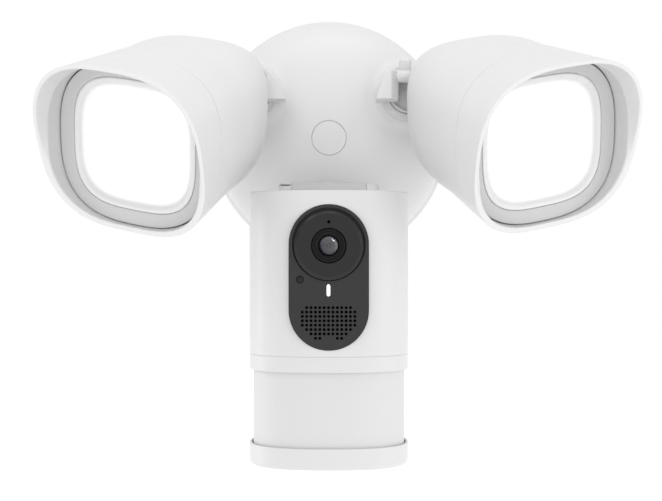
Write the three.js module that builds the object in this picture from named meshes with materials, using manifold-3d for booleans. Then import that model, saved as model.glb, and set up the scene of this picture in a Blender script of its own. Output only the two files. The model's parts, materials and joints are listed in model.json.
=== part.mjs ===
// Floodlight security camera: a round wall base that carries two swivelling lamp heads
// and, on an arm below them, a camera head with a motion-sensor window.
// Millimetres, +Z up, the front faces -Y, +X is the viewer's right. The origin is the
// centre of the base where it meets the wall.
import * as THREE from "three";
import { mergeVertices } from "three/addons/utils/BufferGeometryUtils.js";
import Module from "manifold-3d";

const wasm = await Module();
wasm.setup();

// ---------------------------------------------------------------- driving dimensions
const GAP = 0.3; // clearance between neighbouring pieces
const WALL = 2.4; // moulded wall thickness
const OVER = 2; // how far a cutting body runs past the face it opens
const DEGREE = Math.PI / 180;
const SIDES = [-1, 1];

// Wall base: a shallow round dome with a thin flared rim.
const BASE_RADIUS = 67.2;
const BASE_RIM = 3; // thickness of the flare along Y
const BASE_DEPTH = 34;
const DOME_RADIUS = 65.6;
const DOME_EXPONENT = 2.4;
const COVER_RADIUS = 9.5; // round cover over the fixing screw
const COVER_Z = -1.5;
const GASKET_DEPTH = 3.6;
const BACK_THICKNESS = 2.2;
const PLATE_BACK = -GASKET_DEPTH - GAP; // rear face of the back plate
const PLATE_RADIUS = DOME_RADIUS - WALL - 1.4;
const COLUMN_LENGTH = 20; // screw column of the back plate
const COLUMN_FRONT = PLATE_BACK - COLUMN_LENGTH;
const GLAND_X = 24; // place of the wire gland
const GLAND_Z = -26;

// Lamp head, in its own frame: origin in the lens plane, -Y forward, +Z up.
const LENS_HALF = 33.74;
const LENS_EXPONENT = 3.25;
const SHELL_HALF = 44.4; // outer half-size at the lens plane
const SHELL_SLOPE = 0.086; // growth of the half-size for each mm forward
const SHELL_EXPONENT = 2.71;
const HOOD_WALL = 2.7;
const HOOD_BOTTOM = 2.2; // how far the rim stands in front of the lens plane, at the bottom
const HOOD_TOP = 25.8; // and at the top
const HOOD_POWER = 0.93;
const SEAM = -10; // seam between the front and rear shells
const TAPER_END = -42; // where the taper turns into the rear dome
const DOME_LENGTH = 58;
const DOME_FLAT = 0.42; // share of the size left at the flat rear end
const BEZEL_THICKNESS = 3;
const FLANGE_HALF = 37; // lens flange and its gasket, behind the bezel
const LEDGE_HALF = 33;
const LAMP_SEGMENTS = 28;

// Where each lamp head is at rest: lens centre, yaw outwards, pitch down and roll.
const LAMP_POSES = {
  left: { side: -1, centre: [-95.5, -133.2, -13.0], yaw: -24.3, pitch: 20.6, roll: -11.4 },
  right: { side: 1, centre: [105.8, -126.8, -10.6], yaw: 25.0, pitch: 19.2, roll: 11.8 },
};

// Distance from the middle to the slanted inner face of each hinge ear, at its foot and top.
const EAR_FACES = { left: [23.4, 35], right: [25.2, 30.5] };

// Knuckle of each lamp: a swivel flange on the base and a tilt hinge along X.
const SWIVEL_X = 44;
const SWIVEL_Z = 23;
const SOCKET_RADIUS = 18;
const SOCKET_FRONT = -33;
const FLANGE_RADIUS = 15.6;
const FLANGE_FRONT = -38;
const STEM_RADIUS = 6;
const HINGE_Y = -53;
const HINGE_Z = 30.3;
const HINGE_SCREW = 2; // radius of the clamp screw's shank
const SLEEVE_RADIUS = 3.2;
const EYE_RADIUS = 6.5;
const EYE_INNER = 44.2; // X where the lamp's eye starts
const EYE_LENGTH = 10;
const EAR_OUTER = 37.6;
const EAR_LOW = 17.8;
const EAR_HIGH = 33.6;
const EAR_FRONT = -57;
const EAR_BEVEL = 4; // bevel that clears the lamp's rear dome
const SCREW_HEAD = 2.6; // radius of the clamp screw's head
const SCREW_HEAD_LENGTH = 2;

// Camera head: a squircle column, hung on a pan and tilt knuckle behind its top edge.
const BODY_Y = -86;
const BODY_HALF_WIDTH = 40.85;
const BODY_HALF_DEPTH = 39;
const BODY_EXPONENT = 2.5;
const BODY_TOP = -33.7;
const BODY_SEAM = -116.3;
const COLLAR_BOTTOM = -124.2;
const WINDOW_INSET = 1.95;
const WINDOW_WALL = 1.6;
const CAP_TOP = -161.7;
const CAP_BOTTOM = -172.7;
const BODY_SPLIT = -80; // Y of the plane between the front and rear shells
const BODY_SEGMENTS = 36;
const TILT_Y = -62;
const TILT_Z = -36.5;
const BARREL_RADIUS = 9.3;
const BARREL_HALF = 19.6;
const EAR_END = 26.7; // outer X of the camera's hinge ears
const TRUNNION_RADIUS = 4;
const PAN_PIN = 3; // radius of the upright pin
const TONGUE_HALF = 3; // half-thickness of the arm's tongue
const TONGUE_RADIUS = 7;
const ARM_HALF_WIDTH = 13;
const ARM_FRONT = -44;
const ARM_BACK = -18;
const ARM_FOOT_RADIUS = 11.4;

// Front panel of the camera head.
const PANEL_HALF_WIDTH = 19.75;
const PANEL_HALF_HEIGHT = 36;
const PANEL_Z = -76.9;
const PANEL_FRONT = -125.4;
const PANEL_DEPTH = 3.4;
const EYE_Z = -61.2; // height of the lens axis
const LENS_PLATE_RADIUS = 17.2;
const LENS_PLATE_FRONT = -127.2;
const BARREL_FACE_RADIUS = 8.2;
const GLASS_RADIUS = 4.8;
const GRILLE_HALF = 13.1;
const GRILLE_TOP = -91;
const GRILLE_ROWS = 8;
const GRILLE_PITCH = 2.16;
const GRILLE_SLIT = 1.3; // height of each slit
const GRILLE_FULL_ROWS = 5; // the rows below these get shorter, step by step
const GRILLE_STEP = 2.4;
const STATUS_X = -0.15; // light bar below the lens
const STATUS_Z = -83.3;
const STATUS_HALF_WIDTH = 1.05;
const STATUS_HALF_HEIGHT = 3.3;
const LIGHT_SENSOR_X = -14.2;
const LIGHT_SENSOR_Z = -77.9;
const LIGHT_SENSOR_RADIUS = 1.6;
const MICROPHONE_Z = -49.5;

// ---------------------------------------------------------------- shape helpers
function solid(geometry) {
  const bare = new THREE.BufferGeometry();
  const source = geometry.index ? geometry.toNonIndexed() : geometry;
  bare.setAttribute("position", source.getAttribute("position"));
  const merged = mergeVertices(bare, 1e-4);
  const triVerts = [];
  for (let i = 0; i < merged.index.count; i += 3) {
    const [a, b, c] = merged.index.array.slice(i, i + 3);
    if (a !== b && b !== c && c !== a) triVerts.push(a, b, c);
  }
  const vertProperties = merged.attributes.position.array;
  const made = (corners) =>
    new wasm.Manifold(
      new wasm.Mesh({ numProp: 3, vertProperties, triVerts: new Uint32Array(corners) }),
    );
  const body = made(triVerts);
  return body.volume() < 0 ? made(triVerts.reverse()) : body;
}

function geometryOf(body) {
  const mesh = body.getMesh();
  const geometry = new THREE.BufferGeometry();
  geometry.setAttribute("position", new THREE.BufferAttribute(mesh.vertProperties, 3));
  geometry.setIndex(new THREE.BufferAttribute(mesh.triVerts, 1));
  return geometry;
}

const join = (first, ...rest) =>
  geometryOf(rest.reduce((sum, next) => sum.add(solid(next)), solid(first)));
const cut = (first, ...rest) =>
  geometryOf(rest.reduce((sum, next) => sum.subtract(solid(next)), solid(first)));
const overlap = (first, second) => geometryOf(solid(first).intersect(solid(second)));

// A closed body through rings of equally many points, with a fan closing each end.
function loft(rings) {
  const count = rings[0].length;
  const corners = [];
  const middle = (ring) =>
    ring.reduce((sum, p) => sum.add(p), new THREE.Vector3()).divideScalar(count);
  for (let i = 0; i < count; i += 1) {
    const j = (i + 1) % count;
    for (let k = 0; k + 1 < rings.length; k += 1) {
      corners.push(rings[k][i], rings[k][j], rings[k + 1][j]);
      corners.push(rings[k][i], rings[k + 1][j], rings[k + 1][i]);
    }
    corners.push(middle(rings[0]), rings[0][j], rings[0][i]);
    corners.push(middle(rings.at(-1)), rings.at(-1)[i], rings.at(-1)[j]);
  }
  return geometryOf(solid(new THREE.BufferGeometry().setFromPoints(corners)));
}

// Points of a superellipse; place turns each (across, up, angle) into a point in space.
function outline(halfWidth, halfHeight, exponent, count, place) {
  return Array.from({ length: count }, (_, i) => {
    const angle = (2 * Math.PI * i) / count;
    const [c, s] = [Math.cos(angle), Math.sin(angle)];
    const reach = (Math.abs(c) ** exponent + Math.abs(s) ** exponent) ** (-1 / exponent);
    return place(halfWidth * reach * c, halfHeight * reach * s, angle);
  });
}

// A box between two corners.
function block(low, high) {
  const size = high.map((v, i) => v - low[i]);
  const centre = high.map((v, i) => (v + low[i]) / 2);
  return new THREE.BoxGeometry(...size).translate(...centre);
}

// A cylinder of a radius from one point along +X, +Y or +Z, faceted evenly.
function rod(radius, from, length, axis, segments = 20) {
  const body = new THREE.CylinderGeometry(radius, radius, length, segments);
  body.translate(0, length / 2, 0);
  if (axis === "x") body.rotateZ(-Math.PI / 2);
  if (axis === "z") body.rotateX(Math.PI / 2);
  return body.translate(...from);
}

// A flat plate of an X-Z outline, from its back face forwards.
function plate(shape, back, depth) {
  const settings = { depth, bevelEnabled: false, curveSegments: 10 };
  const body = new THREE.ExtrudeGeometry(shape, settings);
  return body.rotateX(Math.PI / 2).translate(0, back, 0);
}

// A closed outline from X-Z corners.
const polygon = (corners) => new THREE.Shape(corners.map(([x, z]) => new THREE.Vector2(x, z)));

const turned = (profile, segments) =>
  new THREE.LatheGeometry(profile.map(([r, y]) => new THREE.Vector2(r, y)), segments);

// ---------------------------------------------------------------- materials
const WHITE = { color: 0xe9e9e9, roughness: 0.5, metalness: 0 };
const BLACK = { color: 0x26262a, roughness: 0.35, metalness: 0 };
const LENS_WHITE = { color: 0xffffff, roughness: 0.3, metalness: 0, emissive: 0xffffff };
const WINDOW = { color: 0xf1f1ef, roughness: 0.6, metalness: 0 };
const RUBBER = { color: 0x3a3a3c, roughness: 0.9, metalness: 0 };
const STEEL = { color: 0xb9bcc0, roughness: 0.35, metalness: 1 };
const ALUMINIUM = { color: 0xc6c8cb, roughness: 0.45, metalness: 1 };
const GREEN = { color: 0x1f5c3a, roughness: 0.6, metalness: 0 };
const GLASS = { color: 0x8f8ba0, roughness: 0.05, metalness: 0 };
const MIRROR = { color: 0xf2f2f2, roughness: 0.15, metalness: 0.6 };

const part = new THREE.Group();

// Each piece is a closed body with its faces turned outwards.
function add(name, geometry, look, group = part) {
  const mesh = new THREE.Mesh(geometryOf(solid(geometry)), new THREE.MeshStandardMaterial(look));
  mesh.name = name;
  group.add(mesh);
}

// ---------------------------------------------------------------- wall base
// Half of the dome's outline, from the rim at the wall to the crown on the axis.
function domeProfile(radius, depth, steps) {
  const power = 2 / DOME_EXPONENT;
  return Array.from({ length: steps + 1 }, (_, i) => {
    const angle = (i / steps) * (Math.PI / 2);
    const r = i === steps ? 0 : radius * Math.cos(angle) ** power;
    return [r, -depth * Math.sin(angle) ** power];
  });
}

const socketRod = (side, radius, from, to, segments = 24) =>
  rod(radius, [side * SWIVEL_X, to, SWIVEL_Z], from - to, "y", segments);

function baseHousing() {
  const rim = [[0, 0], [BASE_RADIUS, 0], [BASE_RADIUS, -BASE_RIM]];
  const crown = domeProfile(DOME_RADIUS, BASE_DEPTH, 8).filter(([, y]) => y < -BASE_RIM);
  const bore = DOME_RADIUS - WALL;
  const mouth = [[0, OVER], [bore, OVER]];
  const hollow = turned([...mouth, ...domeProfile(bore, BASE_DEPTH - WALL, 7)], 36);
  const drum = turned([...mouth, [bore, -BASE_DEPTH], [0, -BASE_DEPTH]], 40);
  const sockets = SIDES.map((side) =>
    socketRod(side, SOCKET_RADIUS, -BASE_RIM, SOCKET_FRONT),
  );
  const bores = SIDES.map((side) =>
    socketRod(side, STEM_RADIUS + GAP, 0, SOCKET_FRONT - OVER, 20),
  );
  const pockets = SIDES.map((side) =>
    overlap(socketRod(side, SOCKET_RADIUS - WALL, -BASE_RIM, SOCKET_FRONT + 2 * WALL), drum),
  );
  const coverHole = rod(COVER_RADIUS + GAP, [0, -BASE_DEPTH - OVER, COVER_Z], BASE_DEPTH, "y", 28);
  const outer = join(turned([...rim, ...crown], 40), ...sockets);
  return cut(outer, hollow, ...bores, ...pockets, coverHole);
}

// Flat round cover with a skirt, flush with the crown of the dome.
function screwCover() {
  const [edge, skirt] = [COVER_RADIUS - 0.6, COVER_RADIUS - 1.6];
  const [back, under] = [-BASE_DEPTH + 6, -BASE_DEPTH + 2];
  const profile = [
    [0, -BASE_DEPTH], [edge, -BASE_DEPTH + 0.2], [COVER_RADIUS, -BASE_DEPTH + 0.8],
    [COVER_RADIUS, back], [skirt, back], [skirt, under], [0, under],
  ];
  return turned(profile, 28).translate(0, 0, COVER_Z);
}

const ring = (outer, inner, back, depth, segments) =>
  turned(
    [[inner, back], [outer, back], [outer, back - depth], [inner, back - depth], [inner, back]],
    segments,
  );

// Steel strap across the junction box, with slots for its two screws and a threaded boss.
function wallBracket() {
  const [halfLength, thickness, halfHeight] = [48, 2.5, 9];
  const [slotX, slotHalfLength, slotHalfHeight] = [39, 7, 2.2];
  const [bossRadius, threadRadius, threadDepth] = [6, 2.3, 2.4];
  const strap = block([-halfLength, -thickness, -halfHeight], [halfLength, 0, halfHeight]);
  const boss = rod(bossRadius, [0, -GASKET_DEPTH, COVER_Z], GASKET_DEPTH - 1, "y");
  const slots = SIDES.map((side) =>
    block(
      [side * slotX - slotHalfLength, -thickness - OVER, -slotHalfHeight],
      [side * slotX + slotHalfLength, OVER, slotHalfHeight],
    ),
  );
  const start = [0, -GASKET_DEPTH - OVER, COVER_Z];
  const thread = rod(threadRadius, start, OVER + threadDepth, "y", 12);
  return cut(join(strap, boss), ...slots, thread);
}

// Round plate with the column that takes the fixing screw and the wire gland's hole.
function backPlate() {
  const [columnRadius, boreRadius, glandRadius] = [6, 2.6, 5];
  const front = PLATE_BACK - BACK_THICKNESS;
  const disc = rod(PLATE_RADIUS, [0, front, 0], BACK_THICKNESS, "y", 40);
  const column = rod(columnRadius, [0, COLUMN_FRONT, COVER_Z], COLUMN_LENGTH, "y", 16);
  const start = [0, COLUMN_FRONT - OVER, COVER_Z];
  const bore = rod(boreRadius, start, COLUMN_LENGTH + 2 * OVER, "y", 12);
  const gland = rod(glandRadius, [GLAND_X, front - OVER, GLAND_Z], 3 * OVER, "y", 16);
  return cut(join(disc, column), bore, gland);
}

function fixingScrew() {
  const [shankRadius, headRadius, headLength, tip] = [2, 4.2, 3, -1.6];
  const seat = COLUMN_FRONT - GAP;
  const shank = rod(shankRadius, [0, seat, COVER_Z], tip - seat, "y", 12);
  const head = rod(headRadius, [0, seat - headLength, COVER_Z], headLength, "y", 16);
  return join(head, shank);
}

// Supply board with its transformer and capacitor.
function supplyBoard() {
  const [face, thickness, height, sunk] = [-14, 1.6, 11, 0.5];
  const board = block([-34, face, -36], [34, face + thickness, -14]);
  const transformer = block([-26, face - height, -33], [-8, face + sunk, -17]);
  const capacitor = rod(4, [4, face - height, -25], height + sunk, "y", 14);
  return join(board, transformer, capacitor);
}

function wireGland() {
  const [neckRadius, collarRadius, boreRadius, collarDepth, reach] = [4.7, 6.6, 2.6, 1.6, 4.2];
  const neckStart = [GLAND_X, PLATE_BACK - reach, GLAND_Z];
  const neck = rod(neckRadius, neckStart, reach + collarDepth, "y", 16);
  const collar = rod(collarRadius, [GLAND_X, PLATE_BACK + GAP, GLAND_Z], collarDepth, "y", 16);
  const boreStart = [GLAND_X, PLATE_BACK - reach - OVER, GLAND_Z];
  const bore = rod(boreRadius, boreStart, reach + collarDepth + 3 * OVER, "y", 12);
  return cut(join(neck, collar), bore);
}

// Rail of wire terminals, in front of the back plate.
function terminalBlock() {
  const back = PLATE_BACK - BACK_THICKNESS - GAP;
  const [halfWidth, depth, low, high] = [18, 8.7, 22, 32];
  return block([-halfWidth, back - depth, low], [halfWidth, back, high]);
}

function addBase() {
  add("base_housing", baseHousing(), WHITE);
  add("screw_cover", screwCover(), WHITE);
  add("wall_gasket", ring(PLATE_RADIUS, PLATE_RADIUS - 7, 0, GASKET_DEPTH, 40), RUBBER);
  add("wall_bracket", wallBracket(), STEEL);
  add("back_plate", backPlate(), WHITE);
  add("fixing_screw", fixingScrew(), STEEL);
  add("supply_board", supplyBoard(), GREEN);
  add("wire_gland", wireGland(), RUBBER);
  add("terminal_block", terminalBlock(), WHITE);
}

// ---------------------------------------------------------------- lamp heads
const shellHalf = (forward) => SHELL_HALF + SHELL_SLOPE * forward;

const lampRing = (half, exponent, forward) =>
  outline(half, half, exponent, LAMP_SEGMENTS, (x, z) => new THREE.Vector3(x, -forward, z));

const lampSlab = (half, exponent, from, to) =>
  loft([lampRing(half, exponent, from), lampRing(half, exponent, to)]);

const lampFrame = (outerHalf, outerExponent, innerHalf, innerExponent, from, to) =>
  cut(
    lampSlab(outerHalf, outerExponent, from, to),
    lampSlab(innerHalf, innerExponent, from - OVER, to + OVER),
  );

// The hood's rim runs forward from the bottom to the top, in front of the lens plane.
function rimRing(inset, extra) {
  const reach = (angle) =>
    HOOD_BOTTOM + (HOOD_TOP - HOOD_BOTTOM) * ((Math.sin(angle) + 1) / 2) ** HOOD_POWER + extra;
  return outline(1, 1, SHELL_EXPONENT, LAMP_SEGMENTS, (x, z, angle) => {
    const half = shellHalf(reach(angle)) - inset;
    return new THREE.Vector3(x * half, -reach(angle), z * half);
  });
}

function frontShell() {
  const back = SEAM + GAP / 2;
  const outer = loft([lampRing(shellHalf(back), SHELL_EXPONENT, back), rimRing(0, 0)]);
  const stop = -BEZEL_THICKNESS - 4.4;
  const hollow = loft([
    lampRing(shellHalf(stop) - HOOD_WALL, SHELL_EXPONENT, stop),
    rimRing(HOOD_WALL, OVER),
  ]);
  return cut(outer, hollow, lampSlab(LEDGE_HALF, LENS_EXPONENT, back - OVER, stop + OVER));
}

// Rings of the tapered body and the rear dome, shrunk by a wall thickness.
function rearRings(start, inset) {
  const rings = [lampRing(shellHalf(start) - inset, SHELL_EXPONENT, start)];
  rings.push(lampRing(shellHalf(TAPER_END) - inset, SHELL_EXPONENT, TAPER_END));
  for (const turn of [0.22, 0.42, 0.62, 0.82, 1]) {
    const angle = turn * (Math.PI / 2);
    const half = (shellHalf(TAPER_END) - inset) * (DOME_FLAT + (1 - DOME_FLAT) * Math.cos(angle));
    const forward = TAPER_END - (DOME_LENGTH - inset) * Math.sin(angle);
    rings.push(lampRing(half, SHELL_EXPONENT + 0.8 * turn, forward));
  }
  return rings;
}

// A rod on a hinge's axis, between two distances from the middle.
function hingeRod(side, radius, from, to, segments = 16) {
  const low = Math.min(side * from, side * to);
  return rod(radius, [low, HINGE_Y, HINGE_Z], Math.abs(to - from), "x", segments);
}

// Eye of the tilt hinge, and the neck that runs from it into the rear dome.
function hingeEye(side, toLamp) {
  const [boreEnd, neckDepth, neckHalfWidth, neckHalfHeight] = [EYE_INNER + 7, 18, 4.6, 5.5];
  const eye = hingeRod(side, EYE_RADIUS, EYE_INNER, EYE_INNER + EYE_LENGTH, 24);
  const bore = hingeRod(side, HINGE_SCREW + GAP, EYE_INNER - OVER, boreEnd, 12);
  const middle = new THREE.Vector3(side * (EYE_INNER + EYE_LENGTH / 2), HINGE_Y, HINGE_Z);
  const { x, y, z } = middle.applyMatrix4(toLamp);
  const neck = block(
    [x - neckHalfWidth, y - neckDepth, z - neckHalfHeight],
    [x + neckHalfWidth, y, z + neckHalfHeight],
  );
  return { eye: join(eye.applyMatrix4(toLamp), neck), bore: bore.applyMatrix4(toLamp) };
}

function rearShell(side, toLamp) {
  const outer = loft(rearRings(SEAM - GAP / 2, 0));
  const hollow = loft(rearRings(SEAM + OVER, WALL));
  const { eye, bore } = hingeEye(side, toLamp);
  const hinged = join(cut(outer, hollow), eye);
  return cut(hinged, bore);
}

function lampBezel() {
  const half = SHELL_HALF - HOOD_WALL - GAP - 0.2;
  return lampFrame(half, SHELL_EXPONENT, LENS_HALF, LENS_EXPONENT, -BEZEL_THICKNESS, 0);
}

const LENS_FLANGE = 2; // thickness of the flange that the bezel holds
const LENS_BACK = -BEZEL_THICKNESS - GAP - LENS_FLANGE;

function diffuserLens() {
  return join(
    lampSlab(LENS_HALF - GAP, LENS_EXPONENT, LENS_BACK, -0.2),
    lampSlab(FLANGE_HALF, LENS_EXPONENT, LENS_BACK, LENS_BACK + LENS_FLANGE),
  );
}

function lensGasket() {
  const [front, depth, inner] = [LENS_BACK - GAP, 1.2, LEDGE_HALF + 0.4];
  return lampFrame(FLANGE_HALF, LENS_EXPONENT, inner, LENS_EXPONENT, front - depth, front);
}

function reflector() {
  const [front, back, wall] = [-6, -20, 1.2];
  const cone = (inset, over) =>
    loft([
      lampRing(LEDGE_HALF - 0.6 - inset, LENS_EXPONENT, front + over),
      lampRing(26 - inset, LENS_EXPONENT, back - over),
    ]);
  return cut(cone(0, 0), cone(wall, 0.5));
}

const LED_BOARD_FRONT = -20.3;

// Board with nine LED packages on its front face.
function ledBoard() {
  const [thickness, chipHalf, chipHeight, sunk] = [1.6, 1.8, 0.8, 0.2];
  const board = lampSlab(25, LENS_EXPONENT, LED_BOARD_FRONT - thickness, LED_BOARD_FRONT);
  const face = -LED_BOARD_FRONT;
  const chips = [];
  for (const x of [-12, 0, 12]) {
    for (const z of [-12, 0, 12]) {
      chips.push(block(
        [x - chipHalf, face - chipHeight, z - chipHalf],
        [x + chipHalf, face + sunk, z + chipHalf],
      ));
    }
  }
  return join(board, ...chips);
}

// Finned plate behind the LED board, with four pillars up to the ledge of the front shell.
function heatSink() {
  const front = LED_BOARD_FRONT - 1.6 - GAP;
  const spreader = lampSlab(36, SHELL_EXPONENT, front - 3, front);
  const pieces = [-22, -13.2, -4.4, 4.4, 13.2, 22].map((x) =>
    block([x - 1, -front + 2.5, -24], [x + 1, -front + 20, 24]),
  );
  for (const x of [-27, 27]) {
    for (const z of [-27, 27]) {
      pieces.push(block([x - 2, -SEAM + GAP, z - 2], [x + 2, -front + 2, z + 2]));
    }
  }
  return join(spreader, ...pieces);
}

// Distance from the middle to an ear's slanted inner face, at a height.
function earFace([foot, top], z) {
  return foot + ((top - foot) * (z - EAR_LOW)) / (EAR_HIGH - EAR_LOW);
}

// Hinge ear: slanted on its inner face, bevelled in front where the lamp's dome passes.
function hingeEar(side, faces) {
  const [foot, top] = faces;
  const back = FLANGE_FRONT + OVER;
  const mirrored = (corners) => polygon(corners.map(([x, other]) => [side * x, other]));
  const fromAbove = new THREE.ExtrudeGeometry(
    mirrored([
      [foot, EAR_FRONT], [EAR_OUTER - EAR_BEVEL, EAR_FRONT],
      [EAR_OUTER, EAR_FRONT + EAR_BEVEL], [EAR_OUTER, back], [foot, back],
    ]),
    { depth: EAR_HIGH - EAR_LOW, bevelEnabled: false },
  ).translate(0, 0, EAR_LOW);
  const fromAhead = plate(
    mirrored([[foot, EAR_LOW], [EAR_OUTER, EAR_LOW], [EAR_OUTER, EAR_HIGH], [top, EAR_HIGH]]),
    back, back - EAR_FRONT,
  );
  return overlap(fromAbove, fromAhead);
}

// Flange that turns on the base, its hinge ear with the clamp sleeve, and a stop finger.
function lampSwivel(side, faces) {
  const [stemEnd, wireRadius, fingerInner, fingerOuter, fingerDepth] = [-20, 3, 38.4, 45.4, 3.6];
  const [fingerLow, fingerHigh] = [28, 38.3];
  const flange = socketRod(side, FLANGE_RADIUS, SOCKET_FRONT - GAP, FLANGE_FRONT, 32);
  const stem = socketRod(side, STEM_RADIUS, stemEnd, FLANGE_FRONT + 1, 20);
  const sleeve = hingeRod(side, SLEEVE_RADIUS, EAR_OUTER - 1, EYE_INNER - GAP);
  const back = FLANGE_FRONT + OVER;
  const front = FLANGE_FRONT - fingerDepth;
  const span = [side * fingerInner, side * fingerOuter].sort((a, b) => a - b);
  const finger = block([span[0], front, fingerLow], [span[1], back, fingerHigh]);
  const tipStart = [(span[0] + span[1]) / 2, front, fingerHigh];
  const tip = rod((span[1] - span[0]) / 2, tipStart, back - front, "y", 16);
  const seat = earFace(faces, HINGE_Z) + 2 * GAP + SCREW_HEAD_LENGTH;
  const bore = hingeRod(side, HINGE_SCREW + GAP, seat - 1, EYE_INNER + 1, 12);
  const sink = hingeRod(side, SCREW_HEAD + GAP, faces[0] - 1, seat);
  const wireHole = socketRod(side, wireRadius, 0, FLANGE_FRONT - OVER, 12);
  return cut(join(flange, stem, hingeEar(side, faces), sleeve, finger, tip), bore, sink, wireHole);
}

function clampScrew(side, faces) {
  const head = earFace(faces, HINGE_Z) + GAP;
  const shank = hingeRod(side, HINGE_SCREW, head + 1, EYE_INNER + 6, 12);
  return join(hingeRod(side, SCREW_HEAD, head, head + SCREW_HEAD_LENGTH), shank);
}

// Nut ring that holds the swivel's stem from inside the socket.
function swivelNut(side) {
  const [radius, thickness] = [10, 5];
  const front = SOCKET_FRONT + 2 * WALL + GAP;
  return cut(
    socketRod(side, radius, front + thickness, front, 6),
    socketRod(side, STEM_RADIUS + GAP, front + thickness + OVER, front - OVER, 20),
  );
}

function addLamp(sideName, { side, centre, yaw, pitch, roll }) {
  const faces = EAR_FACES[sideName];
  const head = new THREE.Group();
  head.position.set(...centre);
  head.rotation.set(pitch * DEGREE, -roll * DEGREE, yaw * DEGREE, "ZXY");
  head.updateMatrix();
  part.add(head);
  const toLamp = head.matrix.clone().invert();
  add(`lamp_front_shell_${sideName}`, frontShell(), WHITE, head);
  add(`lamp_rear_shell_${sideName}`, rearShell(side, toLamp), WHITE, head);
  add(`lamp_bezel_${sideName}`, lampBezel(), WHITE, head);
  add(`lamp_lens_${sideName}`, diffuserLens(), LENS_WHITE, head);
  add(`lens_gasket_${sideName}`, lensGasket(), RUBBER, head);
  add(`lamp_reflector_${sideName}`, reflector(), MIRROR, head);
  add(`led_board_${sideName}`, ledBoard(), GREEN, head);
  add(`heat_sink_${sideName}`, heatSink(), ALUMINIUM, head);
  add(`lamp_swivel_${sideName}`, lampSwivel(side, faces), WHITE);
  add(`clamp_screw_${sideName}`, clampScrew(side, faces), STEEL);
  add(`swivel_nut_${sideName}`, swivelNut(side), WHITE);
}

// An upright rod on the pan axis, half above and half below it.
function upright(radius, half, segments) {
  const body = new THREE.CylinderGeometry(radius, radius, 2 * half, segments);
  return body.rotateX(Math.PI / 2).translate(0, TILT_Y, TILT_Z);
}

// Arm from the dome to a thin tongue with an upright bore.
function cameraArm() {
  const [footFront, footDepth, below, above] = [-30.5, 12, 9, 7];
  const root = block(
    [-ARM_HALF_WIDTH, ARM_FRONT, TILT_Z - below], [ARM_HALF_WIDTH, ARM_BACK, TILT_Z + above],
  );
  const foot = rod(ARM_FOOT_RADIUS, [0, footFront, TILT_Z - 1], footDepth, "y", 28);
  const tongue = block(
    [-TONGUE_RADIUS, TILT_Y, TILT_Z - TONGUE_HALF],
    [TONGUE_RADIUS, ARM_FRONT + 2 * OVER, TILT_Z + TONGUE_HALF],
  );
  const nose = upright(TONGUE_RADIUS, TONGUE_HALF, 24);
  const outer = domeProfile(DOME_RADIUS + GAP, BASE_DEPTH + GAP, 9).slice(1);
  const dome = turned([[0, 0], [DOME_RADIUS + GAP, 0], ...outer], 48);
  return cut(join(root, foot, tongue, nose), upright(PAN_PIN + GAP, 10, 14), dome);
}

// Barrel that pans on the tongue's pin; the camera tilts on its two trunnions.
function panBarrel() {
  const [cheek, slotBack, slotFront] = [2.6, 20, 7.6];
  const level = (radius, half, segments) =>
    rod(radius, [-half, TILT_Y, TILT_Z], 2 * half, "x", segments);
  const drum = level(BARREL_RADIUS, BARREL_HALF, 28);
  const trunnions = level(TRUNNION_RADIUS, EAR_END - 0.8, 20);
  const [halfWidth, halfHeight] = [BARREL_HALF - cheek, TONGUE_HALF + GAP];
  const slot = block(
    [-halfWidth, TILT_Y - slotFront, TILT_Z - halfHeight],
    [halfWidth, TILT_Y + slotBack, TILT_Z + halfHeight],
  );
  return cut(join(drum, trunnions), slot, upright(PAN_PIN + GAP, 7, 14));
}

const panPin = () => upright(PAN_PIN, 6.6, 14);

// ---------------------------------------------------------------- camera head
const bodyRing = (inset, z) =>
  outline(BODY_HALF_WIDTH - inset, BODY_HALF_DEPTH - inset, BODY_EXPONENT, BODY_SEGMENTS,
    (x, y) => new THREE.Vector3(x, BODY_Y + y, z));

const bodySlab = (inset, low, high) => loft([bodyRing(inset, low), bodyRing(inset, high)]);

function pillShape(inset) {
  const half = PANEL_HALF_WIDTH - inset;
  const straight = PANEL_HALF_HEIGHT - PANEL_HALF_WIDTH;
  const shape = new THREE.Shape();
  shape.moveTo(half, PANEL_Z - straight);
  shape.lineTo(half, PANEL_Z + straight);
  shape.absarc(0, PANEL_Z + straight, half, 0, Math.PI, false);
  shape.lineTo(-half, PANEL_Z - straight);
  shape.absarc(0, PANEL_Z - straight, half, Math.PI, 2 * Math.PI, false);
  return shape;
}

// Column walls closed at the top and open at the bottom, before the split in two.
function bodyShell() {
  const outer = bodySlab(0, BODY_SEAM + GAP / 2, BODY_TOP);
  const hollow = bodySlab(WALL, BODY_SEAM - OVER, BODY_TOP - WALL);
  return cut(outer, hollow);
}

const FAR = 200; // beyond the column on every side

// Front half of the column, with the recess and the window that take the face panel.
function cameraFrontShell() {
  const behind = block([-FAR, BODY_SPLIT - GAP / 2, -FAR], [FAR, FAR, FAR]);
  const seat = PANEL_FRONT + PANEL_DEPTH + GAP;
  const recess = plate(pillShape(-GAP), seat, 20);
  const backing = overlap(
    plate(pillShape(-2), seat + 2, 2),
    bodySlab(WALL / 2, BODY_SEAM + 1, BODY_TOP - 1),
  );
  const window = plate(pillShape(3), -60, 80);
  const rimmed = cut(join(bodyShell(), backing), recess, window);
  return cut(rimmed, behind);
}

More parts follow.
